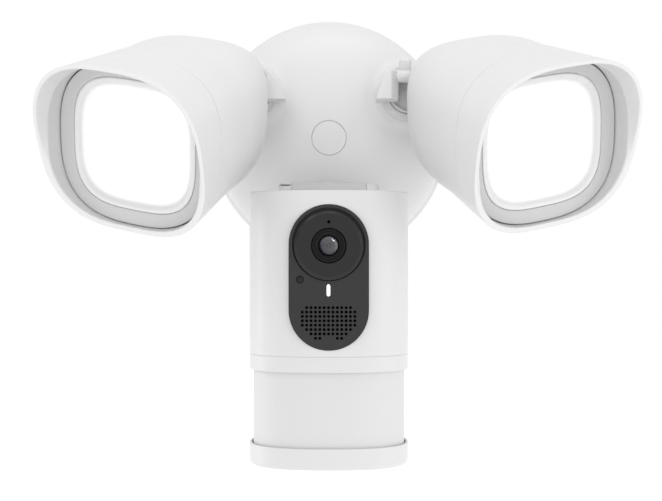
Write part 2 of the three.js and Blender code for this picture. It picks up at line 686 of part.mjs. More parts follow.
// Rear half of the column, with the notch for the knuckle and an ear at each side of it.
function cameraRearShell() {
  const [notchFront, notchDepth, earRadius] = [BODY_SPLIT + 6, 14, 8.4];
  const ahead = block([-FAR, -FAR, -FAR], [FAR, BODY_SPLIT + GAP / 2, FAR]);
  const half = BARREL_HALF + GAP;
  const notch = block([-half, notchFront, TILT_Z - notchDepth], [half, FAR, FAR]);
  const pocket = block(
    [-half - WALL, notchFront - WALL, TILT_Z - notchDepth - WALL],
    [half + WALL, -40, BODY_TOP],
  );
  const lining = overlap(pocket, bodySlab(0.2, BODY_SEAM, BODY_TOP));
  const lined = join(cut(bodyShell(), ahead), lining);
  const ears = SIDES.map((side) => {
    const low = side > 0 ? half + 0.1 : -EAR_END;
    return rod(earRadius, [low, TILT_Y, TILT_Z], EAR_END - half - 0.1, "x", 24);
  });
  const bores = SIDES.map((side) => {
    const low = side > 0 ? half - OVER : -EAR_END + 0.4;
    const length = EAR_END - half + OVER - 0.4;
    return rod(TRUNNION_RADIUS + GAP, [low, TILT_Y, TILT_Z], length, "x", 20);
  });
  return cut(join(cut(lined, notch), ...ears), ...bores, ahead);
}

// Trim band under the shells, with an inner lip that locates both halves.
function collar() {
  const top = BODY_SEAM - GAP / 2;
  const band = bodySlab(0, COLLAR_BOTTOM + GAP / 2, top);
  const lip = bodySlab(WALL + GAP, top - 1, top + 1);
  return cut(join(band, lip), bodySlab(2 * WALL + GAP, COLLAR_BOTTOM - OVER, top + OVER));
}

// Curved sensor window, all round the column between the collar and the bottom cap.
function motionWindow() {
  const [low, high] = [CAP_TOP + GAP / 2, COLLAR_BOTTOM - GAP / 2];
  const outer = bodySlab(WINDOW_INSET, low, high);
  return cut(outer, bodySlab(WINDOW_INSET + WINDOW_WALL, low - OVER, high + OVER));
}

const BUTTON_Y = BODY_Y + 14;
const BUTTON_RADIUS = 4;

// Cup under the window, with a lip that locates the window and a hole for the button.
function bottomCap() {
  const [top, edge] = [CAP_TOP - GAP / 2, 2.4];
  const low = bodyRing(edge, CAP_BOTTOM);
  const body = loft([low, bodyRing(0, CAP_BOTTOM + edge), bodyRing(0, top)]);
  const hollow = bodySlab(WALL, CAP_BOTTOM + WALL, top + OVER);
  const lip = cut(
    bodySlab(WINDOW_INSET + WINDOW_WALL + GAP, CAP_BOTTOM + 1, top + 3),
    bodySlab(2 * WALL + WINDOW_INSET, CAP_BOTTOM, top + 5),
  );
  const hole = rod(BUTTON_RADIUS + GAP, [0, BUTTON_Y, CAP_BOTTOM - 4], 12, "z", 20);
  return cut(join(cut(body, hollow), lip), hole);
}

function syncButton() {
  const face = CAP_BOTTOM + 0.4;
  const flange = rod(BUTTON_RADIUS + 1.6, [0, BUTTON_Y, face + 3.4], 1.4, "z", 20);
  return join(rod(BUTTON_RADIUS, [0, BUTTON_Y, face], 4, "z", 20), flange);
}

// A round hole, or a level slit, to cut in a drawn outline.
function roundHole(x, z, radius) {
  const path = new THREE.Path();
  path.absarc(x, z, radius, 0, 2 * Math.PI, true);
  return path;
}

function slitHole(x, z, halfWidth, halfHeight) {
  return new THREE.Path([
    new THREE.Vector2(x - halfWidth, z - halfHeight),
    new THREE.Vector2(x - halfWidth, z + halfHeight),
    new THREE.Vector2(x + halfWidth, z + halfHeight),
    new THREE.Vector2(x + halfWidth, z - halfHeight),
  ]);
}

// Pill-shaped panel with holes for the lens, the light sensor, the light bar and the speaker.
function facePanel() {
  const shape = pillShape(0);
  shape.holes.push(
    roundHole(0, EYE_Z, BARREL_FACE_RADIUS + GAP),
    roundHole(LIGHT_SENSOR_X, LIGHT_SENSOR_Z, LIGHT_SENSOR_RADIUS + GAP),
    slitHole(STATUS_X, STATUS_Z, STATUS_HALF_WIDTH, STATUS_HALF_HEIGHT),
  );
  for (let row = 0; row < GRILLE_ROWS; row += 1) {
    const shorter = Math.max(0, row - GRILLE_FULL_ROWS + 1) * GRILLE_STEP;
    const z = GRILLE_TOP - row * GRILLE_PITCH;
    shape.holes.push(slitHole(0, z, GRILLE_HALF - shorter, GRILLE_SLIT / 2));
  }
  return plate(shape, PANEL_FRONT + PANEL_DEPTH, PANEL_DEPTH);
}

// Raised round surround of the lens, with a bevelled edge and the microphone hole.
function lensPlate() {
  const [back, inner] = [PANEL_FRONT - GAP, BARREL_FACE_RADIUS + GAP];
  const profile = [
    [inner, back], [LENS_PLATE_RADIUS, back], [LENS_PLATE_RADIUS, LENS_PLATE_FRONT + 0.8],
    [LENS_PLATE_RADIUS - 1, LENS_PLATE_FRONT], [inner, LENS_PLATE_FRONT], [inner, back],
  ];
  const disc = turned(profile, 36).translate(0, 0, EYE_Z);
  return cut(disc, rod(0.75, [0, LENS_PLATE_FRONT - 1, MICROPHONE_Z], 4, "y", 10));
}

const SENSOR_FRONT = -96; // Y of the image sensor board's front face
const BOARD_THICKNESS = 1.6;

// Stepped barrel that holds the lens, from its conical face back to the image sensor.
function lensBarrel() {
  const face = LENS_PLATE_FRONT + 0.5;
  const [glass, tube, bore] = [GLASS_RADIUS + GAP, 7, 5.6];
  const [coneEnd, seat, shoulder, end] = [face + 3, face + 6, face + 12, SENSOR_FRONT - GAP];
  return turned([
    [glass, coneEnd], [BARREL_FACE_RADIUS - 2.4, face], [BARREL_FACE_RADIUS, face],
    [BARREL_FACE_RADIUS, shoulder], [tube, shoulder], [tube, end],
    [bore, end], [bore, seat], [glass, seat], [glass, coneEnd],
  ], 20).translate(0, 0, EYE_Z);
}

function lensGlass() {
  const rim = LENS_PLATE_FRONT + 4;
  const back = rim + 2;
  return turned([
    [0, back], [GLASS_RADIUS, back], [GLASS_RADIUS, rim],
    [3.4, rim - 0.9], [1.8, rim - 1.6], [0, rim - 1.9], [0, back],
  ], 24).translate(0, 0, EYE_Z);
}

function statusLightPipe(back) {
  const [halfWidth, halfHeight] = [STATUS_HALF_WIDTH - GAP, STATUS_HALF_HEIGHT - GAP];
  return block(
    [STATUS_X - halfWidth, PANEL_FRONT + 0.1, STATUS_Z - halfHeight],
    [STATUS_X + halfWidth, back + OVER, STATUS_Z + halfHeight],
  );
}

function addFrontPanel() {
  const back = PANEL_FRONT + PANEL_DEPTH;
  const sensorStart = [LIGHT_SENSOR_X, PANEL_FRONT + 0.2, LIGHT_SENSOR_Z];
  const sensorWindow = rod(LIGHT_SENSOR_RADIUS, sensorStart, PANEL_DEPTH + 1, "y", 16);
  add("face_panel", facePanel(), BLACK);
  add("lens_surround", lensPlate(), BLACK);
  add("lens_barrel", lensBarrel(), BLACK);
  add("lens_glass", lensGlass(), GLASS);
  add("status_light_pipe", statusLightPipe(back), LENS_WHITE);
  add("light_sensor_window", sensorWindow, GLASS);
  add("microphone", rod(2.6, [0, back + GAP, MICROPHONE_Z + 1.9], 2.6, "y", 14), STEEL);
}

// Round speaker with its cone recess, facing the grille slits.
function speaker() {
  const [coneRadius, frameRadius, magnetRadius, height] = [11, 12.5, 7, -98.5];
  const front = PANEL_FRONT + PANEL_DEPTH + 3;
  const [cone, frame, back] = [front + 3, front + 4, front + 8];
  return turned([
    [0, back], [magnetRadius, back], [magnetRadius, frame], [frameRadius, frame],
    [frameRadius, front], [coneRadius, front], [4, cone], [0, cone],
  ], 28).translate(0, 0, height);
}

// A thin upright circuit board across the middle of the camera head.
function circuitBoard(halfWidth, front, low, high) {
  return block([-halfWidth, front, low], [halfWidth, front + BOARD_THICKNESS, high]);
}

function addCamera() {
  add("camera_arm", cameraArm(), WHITE);
  add("pan_barrel", panBarrel(), WHITE);
  add("pan_pin", panPin(), STEEL);
  add("camera_front_shell", cameraFrontShell(), WHITE);
  add("camera_rear_shell", cameraRearShell(), WHITE);
  add("camera_collar", collar(), WHITE);
  add("motion_window", motionWindow(), WINDOW);
  add("bottom_cap", bottomCap(), WHITE);
  add("sync_button", syncButton(), RUBBER);
  addFrontPanel();
  add("speaker", speaker(), RUBBER);
  add("image_sensor_board", circuitBoard(13, SENSOR_FRONT, EYE_Z - 11, EYE_Z + 11), GREEN);
  add("main_board", circuitBoard(24, -86, -112, -54), GREEN);
  add("motion_board", circuitBoard(26, -92, -154, -126), GREEN);
  for (const [name, x] of [["left", -18], ["centre", 0], ["right", 18]]) {
    add(`motion_sensor_${name}`, rod(4.6, [x, -96.6, -142], 4.3, "y", 16), STEEL);
  }
}

addBase();
for (const [sideName, pose] of Object.entries(LAMP_POSES)) addLamp(sideName, pose);
addCamera();

export default part;
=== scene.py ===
"""Looks of the floodlight security camera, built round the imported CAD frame."""

import json
import math

import bmesh
import bpy
import numpy as np
from mathutils import Matrix, Vector


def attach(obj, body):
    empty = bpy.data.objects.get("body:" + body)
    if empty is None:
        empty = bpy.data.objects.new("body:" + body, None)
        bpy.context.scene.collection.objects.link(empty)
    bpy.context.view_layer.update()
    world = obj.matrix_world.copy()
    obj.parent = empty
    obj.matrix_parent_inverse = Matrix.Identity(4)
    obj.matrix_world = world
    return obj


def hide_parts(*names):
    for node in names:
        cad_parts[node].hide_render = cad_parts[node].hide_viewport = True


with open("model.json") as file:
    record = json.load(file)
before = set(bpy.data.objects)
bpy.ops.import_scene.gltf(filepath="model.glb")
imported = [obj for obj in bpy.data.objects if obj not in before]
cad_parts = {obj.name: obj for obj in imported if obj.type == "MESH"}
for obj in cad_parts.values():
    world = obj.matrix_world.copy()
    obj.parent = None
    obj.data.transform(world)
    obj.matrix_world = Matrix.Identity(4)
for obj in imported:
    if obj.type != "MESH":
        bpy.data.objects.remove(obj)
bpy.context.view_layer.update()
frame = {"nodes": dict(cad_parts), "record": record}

# ---- dimensions, in millimetres
MM = 0.001
GAP = 0.3
WALL = 2.4
SEAM_WIDTH = 0.3  # visible seam between two moulded pieces
FINE_SEAM = 0.12  # seam round the screw cover
COLLAR_SEAM = 0.05  # seam between the camera's shells and its collar
EDGE = 0.35  # rounding of an ordinary moulded edge
FAR = 200  # beyond the object on every side, for cutters

BASE_RADIUS = 67.2
BASE_RIM = 3
BASE_DEPTH = 34
DOME_RADIUS = 65.6
DOME_EXPONENT = 2.4
COVER_RADIUS = 9.5
COVER_Z = -1.5
SWIVEL_X = 44
SWIVEL_Z = 23
SOCKET_RADIUS = 16.4
SOCKET_FRONT = 33
SOCKET_EDGE = 1.6  # rounding of the socket's front edge
SOCKET_BLEND = 7  # width of the smooth join between dome and socket
BASE_TURNS = 288  # points round the base
BASE_RINGS = 150  # rings over its dome
BASE_TILTS = (2.6, 72)  # slopes of the lowest and highest ray that finds it, in degrees
RAY_HALVINGS = 26

# A lamp is measured in its own frame: forward from the lens plane, and half-sizes of squircles.
LENS_HALF = 33.74
LENS_EXPONENT = 3.25
LENS_CLEARANCE = 0.16
LENS_ROLL = -0.8  # top of the lens's rolled edge
LENS_DISH = -2.9  # lowest part of its dished face
SHELL_HALF = 44.4
SHELL_SLOPE = 0.086
SHELL_EXPONENT = 2.71
HOOD_BOTTOM = 2.2
HOOD_TOP = 25.8
HOOD_POWER = 0.93
HOOD_BORE = 41.75  # half-size of the straight part inside the hood
HOOD_FLARE = 10.5  # where the inside of the hood starts to flare
HOOD_SEAT = -7.4  # back of the hood's bore
HOOD_LIP = 1.9
LOW_LIP = 2.8  # lip where the hood is too short to flare
SEAM = -10
TAPER_END = -42
DOME_LENGTH = 58
DOME_FLAT = 0.42
DOME_SQUARING = 0.8  # how much squarer the section gets towards the back
DOME_STEPS = 26
BEZEL_THICKNESS = 3
BEZEL_HALF = 41.2
FLANGE_HALF = 37
LEDGE_HALF = 33
EAR_FACES = {"left": (23.4, 35), "right": (25.2, 30.5)}  # inner face at its foot and top
LAMP_POSES = {
    "left": (-1, (-95.5, -133.2, -13.0), -24.3, 20.6, -11.4),
    "right": (1, (105.8, -126.8, -10.6), 25.0, 19.2, 11.8),
}

FLANGE_RADIUS = 15.6
FLANGE_BACK = -33.3
FLANGE_FRONT = -38
FLANGE_FACE = (13, 1.1)  # radius of its raised face, and how far that stands up
STEM_RADIUS = 6
STEM_END = -20
HINGE_Y = -53
HINGE_Z = 30.3
SLEEVE_RADIUS = 3.2
EYE_RADIUS = 6.5
EYE_INNER = 44.2
EYE_LENGTH = 10
NECK = (4.6, 18, 5.5)  # half-width, reach into the lamp and half-height
EAR_OUTER = 37.6
EAR_FRONT = -57
EAR_BEVEL = 4
EAR_EDGE = 1.1
EAR_LOW = 17.8
EAR_HIGH = 33.6
SCREW_HEAD = 2.6
SCREW_HEAD_LENGTH = 1.4
HINGE_SCREW = 2
CROSS = (1.5, 0.35, 0.9)  # half-length, half-width and depth of the screw's recess
RING_GROOVE = (11.2, 11.9, 1.4)  # radii and depth of the groove in the flange's face
WELL_RADIUS = 9.9
WELL_DEPTH = 4.4
STEM_BORE = 3
FINGER_INNER = 38.4
FINGER_OUTER = 45.4
FINGER_LOW = 28
FINGER_TOP = 41.8
FINGER_REACH = 3.6

BODY_Y = -86
BODY_HALF_WIDTH = 40.85
BODY_HALF_DEPTH = 39
BODY_EXPONENT = 2.5
BODY_TOP = -33.7
BODY_SEAM = -116.3
COLLAR_BOTTOM = -124.2
CORE_INSET = BODY_HALF_DEPTH - 0.01  # nearly at the column's middle, to close its ends
WINDOW_INSET = 1.95
CAP_TOP = -161.7
CAP_BOTTOM = -172.7
BODY_SPLIT = -80
TILT_Y = -62
TILT_Z = -36.5
BARREL_RADIUS = 9.3
BARREL_HALF = 19.6
BARREL_WALL = 2.6
TRUNNION_RADIUS = 4
TRUNNION_END = 25.9
EAR_END = 26.7
EAR_SLIT = (-29.3, -28.6)  # heights of the slit in the left trunnion ear
PAN_PIN = 3
TONGUE_HALF = 3
TONGUE_HALF_WIDTH = 7
ARM_HALF_WIDTH = 13
ARM_FOOT_RADIUS = 11.4
NOTCH_FRONT = -74
NOTCH_LOW = TILT_Z - 14

PANEL_HALF_WIDTH = 19.75
PANEL_HALF_HEIGHT = 36
PANEL_Z = -76.9
PANEL_FRONT = -125.4
PANEL_DEPTH = 3.4
PANEL_EDGE = 0.16
PANEL_LEDGE = 1.8  # how far the ledge behind the panel reaches past it
PANEL_FLOOR = 2  # thickness of that ledge
PANEL_RIM = 3  # how far it reaches in from the panel's outline
EYE_Z = -61.2
LENS_PLATE_RADIUS = 17.2
LENS_PLATE_FRONT = -127.2
PLATE_GROOVE = (15.6, 18.2, 2.2)  # radii and depth of the groove in the panel round it
PLATE_GROOVE_LIFT = 0.65  # the groove is wider above the lens than below it
BARREL_FACE_RADIUS = 8.2
GLASS_RADIUS = 4.8
BUTTON_RADIUS = 4
BUTTON_Y = BODY_Y + 14
STATUS_X = -0.15
STATUS_Z = -83.3
STATUS_HALF_WIDTH = 0.82
STATUS_HALF_HEIGHT = 2.85
LIGHT_SENSOR_X = -14.2
LIGHT_SENSOR_Z = -77.9
LIGHT_SENSOR_RADIUS = 1.62
PINHOLE_RADIUS = 0.8
BAFFLE_STEP = 0.42  # each baffle in the lens barrel is wider by this
BAFFLE_RISE = 0.72  # and nearer to its face by this
BAFFLE_HEIGHT = 0.6
MICROPHONE_Z = -49.5
GRILLE_PITCH = 2.16
GRILLE_COLUMNS = 13
GRILLE_TOP = -91.8
GRILLE_HOLE = 0.72
GRILLE_ROWS = [
    range(1, 12), range(13), range(13), range(13), range(13), range(1, 12), range(2, 11),
    (3, 4, 8, 9),
]

AROUND = 160  # points round a squircle
CORNER_STEPS = 4  # steps round a softened corner of a section
CORNER_SHARE = 0.45  # the most of a side that a corner may take
SHARP_ANGLE = math.radians(38)  # steeper edges stay sharp
BEZIER_ROUND = 0.5523  # handle length that makes a quarter circle of radius 1
TURN = np.linspace(0, 2 * np.pi, AROUND, endpoint=False)

# ---- which slot each node takes
SLOTS = {
    "white_plastic": [
        "base_housing", "screw_cover", "back_plate", "terminal_block", "camera_arm",
        "pan_barrel", "camera_front_shell", "camera_rear_shell", "camera_collar",
        "bottom_cap", "lamp_front_shell", "lamp_rear_shell", "lamp_bezel",
        "lamp_swivel", "swivel_nut",
    ],
    "black_plastic": ["face_panel", "lens_surround", "lens_barrel"],
    "diffuser": ["lamp_lens", "status_light_pipe"],
    "window_plastic": ["motion_window"],
    "seal_rubber": ["wall_gasket", "wire_gland", "lens_gasket", "sync_button", "speaker"],
    "steel": ["wall_bracket", "fixing_screw", "clamp_screw", "pan_pin", "microphone",
              "motion_sensor"],
    "heat_sink_alloy": ["heat_sink"],
    "circuit_board": ["supply_board", "led_board", "image_sensor_board", "main_board",
                      "motion_board"],
    "optic_glass": ["lens_glass", "light_sensor_window"],
    "reflector_plastic": ["lamp_reflector"],
}
SIDE_WORDS = ("_left", "_right", "_centre")


def slot_of(node):
    """Slot of a node, whichever side it is on."""
    kind = node
    for word in SIDE_WORDS:
        kind = kind.removesuffix(word)
    return next(slot for slot, kinds in SLOTS.items() if kind in kinds)


# ---- materials
WHITE = (1, 1, 1, 1)
GLOW = 0.55  # of a lamp's lens
GLOW_FADE = (0.79, 0.91)  # shares of the lens's half-size between which it fades


def new_material(name):
    """Two functions of a new material: node adds one, and finish fills in the shader."""
    material = bpy.data.materials.new(name)
    material.use_nodes = True
    tree = material.node_tree

    def fill(made, values):
        for key, value in values.items():
            if isinstance(value, bpy.types.NodeSocket):
                tree.links.new(value, made.inputs[key])
            else:
                made.inputs[key].default_value = value

    def node(kind, values=None, **settings):
        made = tree.nodes.new(kind)
        for key, value in settings.items():
            setattr(made, key, value)
        fill(made, values or {})
        return made

    def finish(values):
        fill(tree.nodes["Principled BSDF"], values)
        return material

    return node, finish


def object_coordinates(node):
    return node("ShaderNodeTexCoord").outputs["Object"]


def noise(node, where, scale, detail=3.0, roughness=0.55):
    values = {"Vector": where, "Scale": scale, "Detail": detail, "Roughness": roughness}
    return node("ShaderNodeTexNoise", values).outputs["Fac"]


def spread(node, value, low, high, start=0.3, end=0.7):
    """value from start to end becomes low to high."""
    values = {"Value": value, "From Min": start, "From Max": end, "To Min": low, "To Max": high}
    return node("ShaderNodeMapRange", values).outputs["Result"]


def blend_colours(node, factor, first, second):
    """A mix of two colours: sockets 6 and 7 of the node, which gives it at output 2."""
    mix = node("ShaderNodeMix", {0: factor, 6: (*first, 1), 7: (*second, 1)}, data_type="RGBA")
    return mix.outputs[2]


def calculated(node, operation, first, second):
    return node("ShaderNodeMath", {0: first, 1: second}, operation=operation).outputs[0]


def bumped(node, height, strength, depth=0.0002):
    """The normal over a relief; depth is in metres."""
    values = {"Height": height, "Strength": strength, "Distance": depth}
    return node("ShaderNodeBump", values).outputs["Normal"]


def squircle_radius(node, where, exponent):
    """Size of the squircle round Y that a point lies on."""
    size = node("ShaderNodeVectorMath", {0: where}, operation="ABSOLUTE").outputs["Vector"]
    parts = node("ShaderNodeSeparateXYZ", {"Vector": size}).outputs
    powers = [calculated(node, "POWER", parts[axis], exponent) for axis in ("X", "Z")]
    return calculated(node, "POWER", calculated(node, "ADD", *powers), 1 / exponent)


def moulded(name, colour, roughness, grain=2600, relief=0.1, tint=0.03, specular=0.5):
    """Moulded plastic or rubber: a fine eroded grain, and slow changes of gloss and tone."""
    node, finish = new_material(name)
    where = object_coordinates(node)
    darker = tuple(c * (1 - tint) for c in colour)
    wear = noise(node, where, 160, 5)
    return finish({
        "Base Color": blend_colours(node, noise(node, where, 22, 4), darker, colour),
        "Roughness": spread(node, wear, roughness - 0.05, roughness + 0.06),
        "Normal": bumped(node, noise(node, where, grain, 2), relief),
        "Specular IOR Level": specular,
    })


def metal(name, colour, roughness, stretch):
    """Plated or machined metal, with fine marks drawn out along one axis."""
    node, finish = new_material(name)
    where = object_coordinates(node)
    drawn = node("ShaderNodeMapping", {"Vector": where, "Scale": stretch}).outputs["Vector"]
    marks = noise(node, drawn, 900, 5, 0.7)
    darker = tuple(c * 0.82 for c in colour)
    return finish({
        "Base Color": blend_colours(node, noise(node, where, 60, 4), darker, colour),
        "Roughness": spread(node, marks, roughness - 0.1, roughness + 0.12),
        "Normal": bumped(node, marks, 0.12, 0.0001),
        "Metallic": 1.0,
    })


def circuit_board():
    """Solder mask over copper tracks, which stand a little proud."""
    node, finish = new_material("circuit_board")
    where = object_coordinates(node)
    tracks = node("ShaderNodeTexBrick", {
        "Vector": where, "Scale": 260.0, "Mortar Size": 0.03, "Color1": (0.012, 0.11, 0.05, 1),
        "Color2": (0.016, 0.14, 0.065, 1), "Mortar": (0.05, 0.22, 0.1, 1),
    }).outputs
    return finish({
        "Base Color": tracks["Color"],
        "Roughness": spread(node, noise(node, where, 300), 0.3, 0.5),
        "Normal": bumped(node, tracks["Fac"], 0.4, 0.0001),
    })


def opal_diffuser():
    """The lit lens of a lamp: it glows evenly in the middle and fades over the rolled edge."""
    node, finish = new_material("opal_diffuser")
    where = object_coordinates(node)
    radius = squircle_radius(node, where, LENS_EXPONENT)
    fade = [share * LENS_HALF * MM for share in GLOW_FADE]
    milk = noise(node, where, 90, 4)
    return finish({
        "Base Color": blend_colours(node, milk, (0.72, 0.72, 0.72), (0.76, 0.76, 0.76)),
        "Roughness": spread(node, milk, 0.2, 0.3),
        "Normal": bumped(node, noise(node, where, 700), 0.04),
        "Emission Color": WHITE,
        "Emission Strength": spread(node, radius, GLOW, 0.0, *fade),
    })


def status_light():
    """Small opal light pipe, lit nearly evenly."""
    node, finish = new_material("status_light")
    milk = noise(node, object_coordinates(node), 800, 3)
    return finish({
        "Base Color": (0.9, 0.9, 0.9, 1),
        "Roughness": spread(node, milk, 0.25, 0.35),
        "Emission Color": WHITE,
        "Emission Strength": spread(node, milk, 1.2, 1.5),
    })


# Rings painted on the glass: place from the middle to the rim, and tint.
GLASS_RINGS = [
    (0.0, (0.08, 0.08, 0.086)), (0.1, (0.05, 0.05, 0.054)), (0.16, (0.02, 0.02, 0.022)),
    (0.34, (0.04, 0.04, 0.043)), (0.4, (0.1, 0.1, 0.108)), (0.47, (0.03, 0.03, 0.034)),
    (0.7, (0.07, 0.07, 0.078)), (0.88, (0.24, 0.24, 0.25)), (1.0, (0.03, 0.03, 0.034)),
]


def coating_rings(node, share):
    """Colour of the rings at a share of the way to the rim."""
    ramp = node("ShaderNodeValToRGB", {"Fac": share})
    elements = ramp.color_ramp.elements
    while len(elements) < len(GLASS_RINGS):
        elements.new(0.5)
    for element, (place, colour) in zip(elements, GLASS_RINGS):
        element.position = place
        element.color = (*colour, 1)
    return ramp.outputs["Color"]


def coated_glass():
    """Front element, ringed, with a painted highlight that makes it lighter at upper right, and a
    painted violet reflection at lower left.
    """
    node, finish = new_material("coated_glass")
    rim = GLASS_RADIUS * MM
    where = object_coordinates(node)
    values = {0: where, 1: (0, 0, -EYE_Z * MM)}
    centred = node("ShaderNodeVectorMath", values, operation="ADD").outputs["Vector"]
    rings = coating_rings(node, spread(node, squircle_radius(node, centred, 2.0), 0, 1, 0, rim))
    # Painted highlight: the glass grows lighter along this direction, towards the upper right,
    # with a painted swirl through it.
    values = {0: centred, 1: (0.75, 0, 0.66)}
    across = node("ShaderNodeVectorMath", values, operation="DOT_PRODUCT").outputs["Value"]
    swirl = spread(node, noise(node, where, 300, 2), 0.5, 1.2)
    painted_highlight = calculated(node, "MULTIPLY", spread(node, across, 0.2, 1.1, -rim, rim), swirl)
    # Painted violet reflection over the lower left half of the glass.
    painted_violet_reflection = blend_colours(node, spread(node, across, 0, 1, -rim, 0), (1.0, 0.8, 1.2),
                         (1.0, 1.0, 1.0))
    tinted = node("ShaderNodeVectorMath", {0: rings, 1: painted_violet_reflection}, operation="MULTIPLY")
    values = {0: tinted.outputs["Vector"], "Scale": painted_highlight}
    return finish({
        "Base Color": node("ShaderNodeVectorMath", values, operation="SCALE").outputs["Vector"],
        "Roughness": spread(node, noise(node, where, 500), 0.05, 0.12),
        "IOR": 1.52,
        "Coat Weight": 0.5,
        "Coat Roughness": 0.04,
        "Coat Tint": (0.95, 0.94, 1.0, 1),
    })


MATERIALS = {
    "white_plastic": moulded("white_plastic", (0.65, 0.65, 0.65), 0.4),
    "black_plastic": moulded("black_plastic", (0.026, 0.026, 0.0275), 0.5, relief=0.2, tint=0.1,
                             specular=0.3),
    "diffuser": opal_diffuser(),
    "window_plastic": moulded("window_plastic", (0.635, 0.635, 0.635), 0.5, grain=1500,
                              relief=0.06),
    "seal_rubber": moulded("seal_rubber", (0.03, 0.03, 0.031), 0.75, grain=1200, relief=0.4,
                           tint=0.2),
    "steel": metal("steel", (0.62, 0.63, 0.65), 0.32, (1, 8, 1)),
    "heat_sink_alloy": metal("heat_sink_alloy", (0.78, 0.79, 0.8), 0.4, (8, 1, 1)),
    "circuit_board": circuit_board(),
    "optic_glass": coated_glass(),
    "reflector_plastic": moulded("reflector_plastic", (0.86, 0.86, 0.86), 0.18, relief=0.03),
}
DARK_BARREL = moulded("dark_barrel", (0.006, 0.006, 0.0065), 0.55, specular=0.2)
# Darker copy of the white plastic: painted shade for the lamps' bezels and the pan barrel.
SHADED_WHITE = moulded("shaded_white", (0.56, 0.56, 0.56), 0.5)
SPECIAL = {
    "lens_barrel": DARK_BARREL,
    "light_sensor_window": moulded("tinted_cover", (0.008, 0.008, 0.009), 0.3, relief=0.02,
                                   specular=0.3),
    "microphone": DARK_BARREL,
    "lens_surround": moulded("satin_black", (0.014, 0.014, 0.015), 0.3, relief=0.06, tint=0.1,
                             specular=0.3),
    "status_light_pipe": status_light(),
    "lamp_bezel": SHADED_WHITE,
    "pan_barrel": SHADED_WHITE,
}


# ---- mesh helpers
def new_object(name, data):
    """A scene object for a mesh, a curve, a light or a camera."""
    made = bpy.data.objects.new(name, data)
    bpy.context.scene.collection.objects.link(made)
    return made


def piece_from(mesh, name):
    """A scene object from a bmesh: doubles merged, faces out, and smooth up to real edges."""
    bmesh.ops.remove_doubles(mesh, verts=mesh.verts, dist=1e-7)
    bmesh.ops.dissolve_degenerate(mesh, edges=mesh.edges, dist=1e-7)
    bmesh.ops.recalc_face_normals(mesh, faces=mesh.faces)
    data = bpy.data.meshes.new(name)
    mesh.to_mesh(data)
    mesh.free()
    return new_object(name, data)


def surface(name, rings, closed=False):
    """A body through rings of equally many points, in millimetres. Closed joins last to first."""
    rings = np.asarray(rings, float) * MM
    count = rings.shape[1]
    mesh = bmesh.new()
    verts = [[mesh.verts.new(point) for point in ring] for ring in rings]
    pairs = list(zip(verts, verts[1:]))
    if closed:
        pairs.append((verts[-1], verts[0]))
    for first, second in pairs:
        for i in range(count):
            j = (i + 1) % count
            mesh.faces.new((first[i], first[j], second[j], second[i]))
    if not closed:
        mesh.faces.new(verts[0])
        mesh.faces.new(verts[-1])
    return piece_from(mesh, name)


def softened(section, radii, closed):
    """A section with its corners rounded. Rows are (half-size, along, exponent) by angle."""
    points = np.array([np.broadcast_arrays(*row, TURN)[:3] for row in section], float)
    count = len(points)
    made = []
    for i in range(count):
        radius = radii[i] if hasattr(radii, "__len__") else radii
        inside = closed or 0 < i < count - 1
        if not inside or radius == 0:
            made.append(points[i])
            continue
        ends = []
        for other in (points[i - 1], points[(i + 1) % count]):
            step = other - points[i]
            length = np.maximum(np.hypot(step[0], step[1]), 1e-9)
            ends.append(points[i] + step * np.minimum(radius / length, CORNER_SHARE))
        for t in np.linspace(0, 1, CORNER_STEPS + 1):
            made.append((1 - t) ** 2 * ends[0] + 2 * t * (1 - t) * points[i] + t * t * ends[1])
    return made


def squircle(half_x, half_y, exponent):
    """Points of a superellipse, as two rows."""
    c, s = np.cos(TURN), np.sin(TURN)
    reach = (np.abs(c) ** exponent + np.abs(s) ** exponent) ** (-1 / exponent)
    return half_x * reach * c, half_y * reach * s


def lamp_body(name, section, radii=EDGE, closed=True):
    """A piece of a lamp head from its section of (half-size, forward, exponent)."""
    rings = []
    for half, forward, exponent in softened(section, radii, closed):
        x, z = squircle(half, half, exponent)
        rings.append(np.stack([x, -forward, z], 1))
    return surface(name, rings, closed)


def column(name, section, radii=EDGE, closed=True):
    """A piece of the camera's column from its section of (inset, height)."""
    rings = []
    rows = [(inset, z, BODY_EXPONENT) for inset, z in section]
    for inset, z, exponent in softened(rows, radii, closed):
        x, y = squircle(BODY_HALF_WIDTH - inset, BODY_HALF_DEPTH - inset, exponent)
        rings.append(np.stack([x, BODY_Y + y, z], 1))
    return surface(name, rings, closed)


AXES = {
    "x": lambda a, b, t: (t, a, b),
    "y": lambda a, b, t: (a, t, b),
    "z": lambda a, b, t: (a, b, t),
}


def turned(name, profile, axis="y", centre=(0, 0, 0), radii=EDGE, closed=False):
    """A turned piece from (radius, along) points, about an axis through centre."""
    rings = []
    for radius, along, _ in softened([(r, t, 2) for r, t in profile], radii, closed):
        x, y = squircle(radius, radius, 2)
        rings.append(np.stack(np.broadcast_arrays(*AXES[axis](x, y, along)), 1) + centre)
    return surface(name, rings, closed)


def rod(name, radius, low, high, axis, centre, edge=0.0):
    """A round bar along an axis, with its two end edges rounded."""
    profile = [(0, low), (radius, low), (radius, high), (0, high)]
    return turned(name, profile, axis, centre, radii=edge)


def prism(name, corners, low, high, bevel=0.0, axis="z", steps=3):
    """A polygon drawn out along an axis, with its edges rounded."""
    mesh = bmesh.new()
    ends = []
    for along in (low, high):
        points = [Vector(AXES[axis](a, b, along)) * MM for a, b in corners]
        ends.append([mesh.verts.new(p) for p in points])
    mesh.faces.new(ends[0])
    mesh.faces.new(ends[1])
    for i in range(len(corners)):
        j = (i + 1) % len(corners)
        mesh.faces.new((ends[0][i], ends[0][j], ends[1][j], ends[1][i]))
    bmesh.ops.recalc_face_normals(mesh, faces=mesh.faces)
    if bevel:
        bmesh.ops.bevel(mesh, geom=mesh.edges[:], offset=bevel * MM, segments=steps,
                        profile=0.5, affect="EDGES")
    return piece_from(mesh, name)


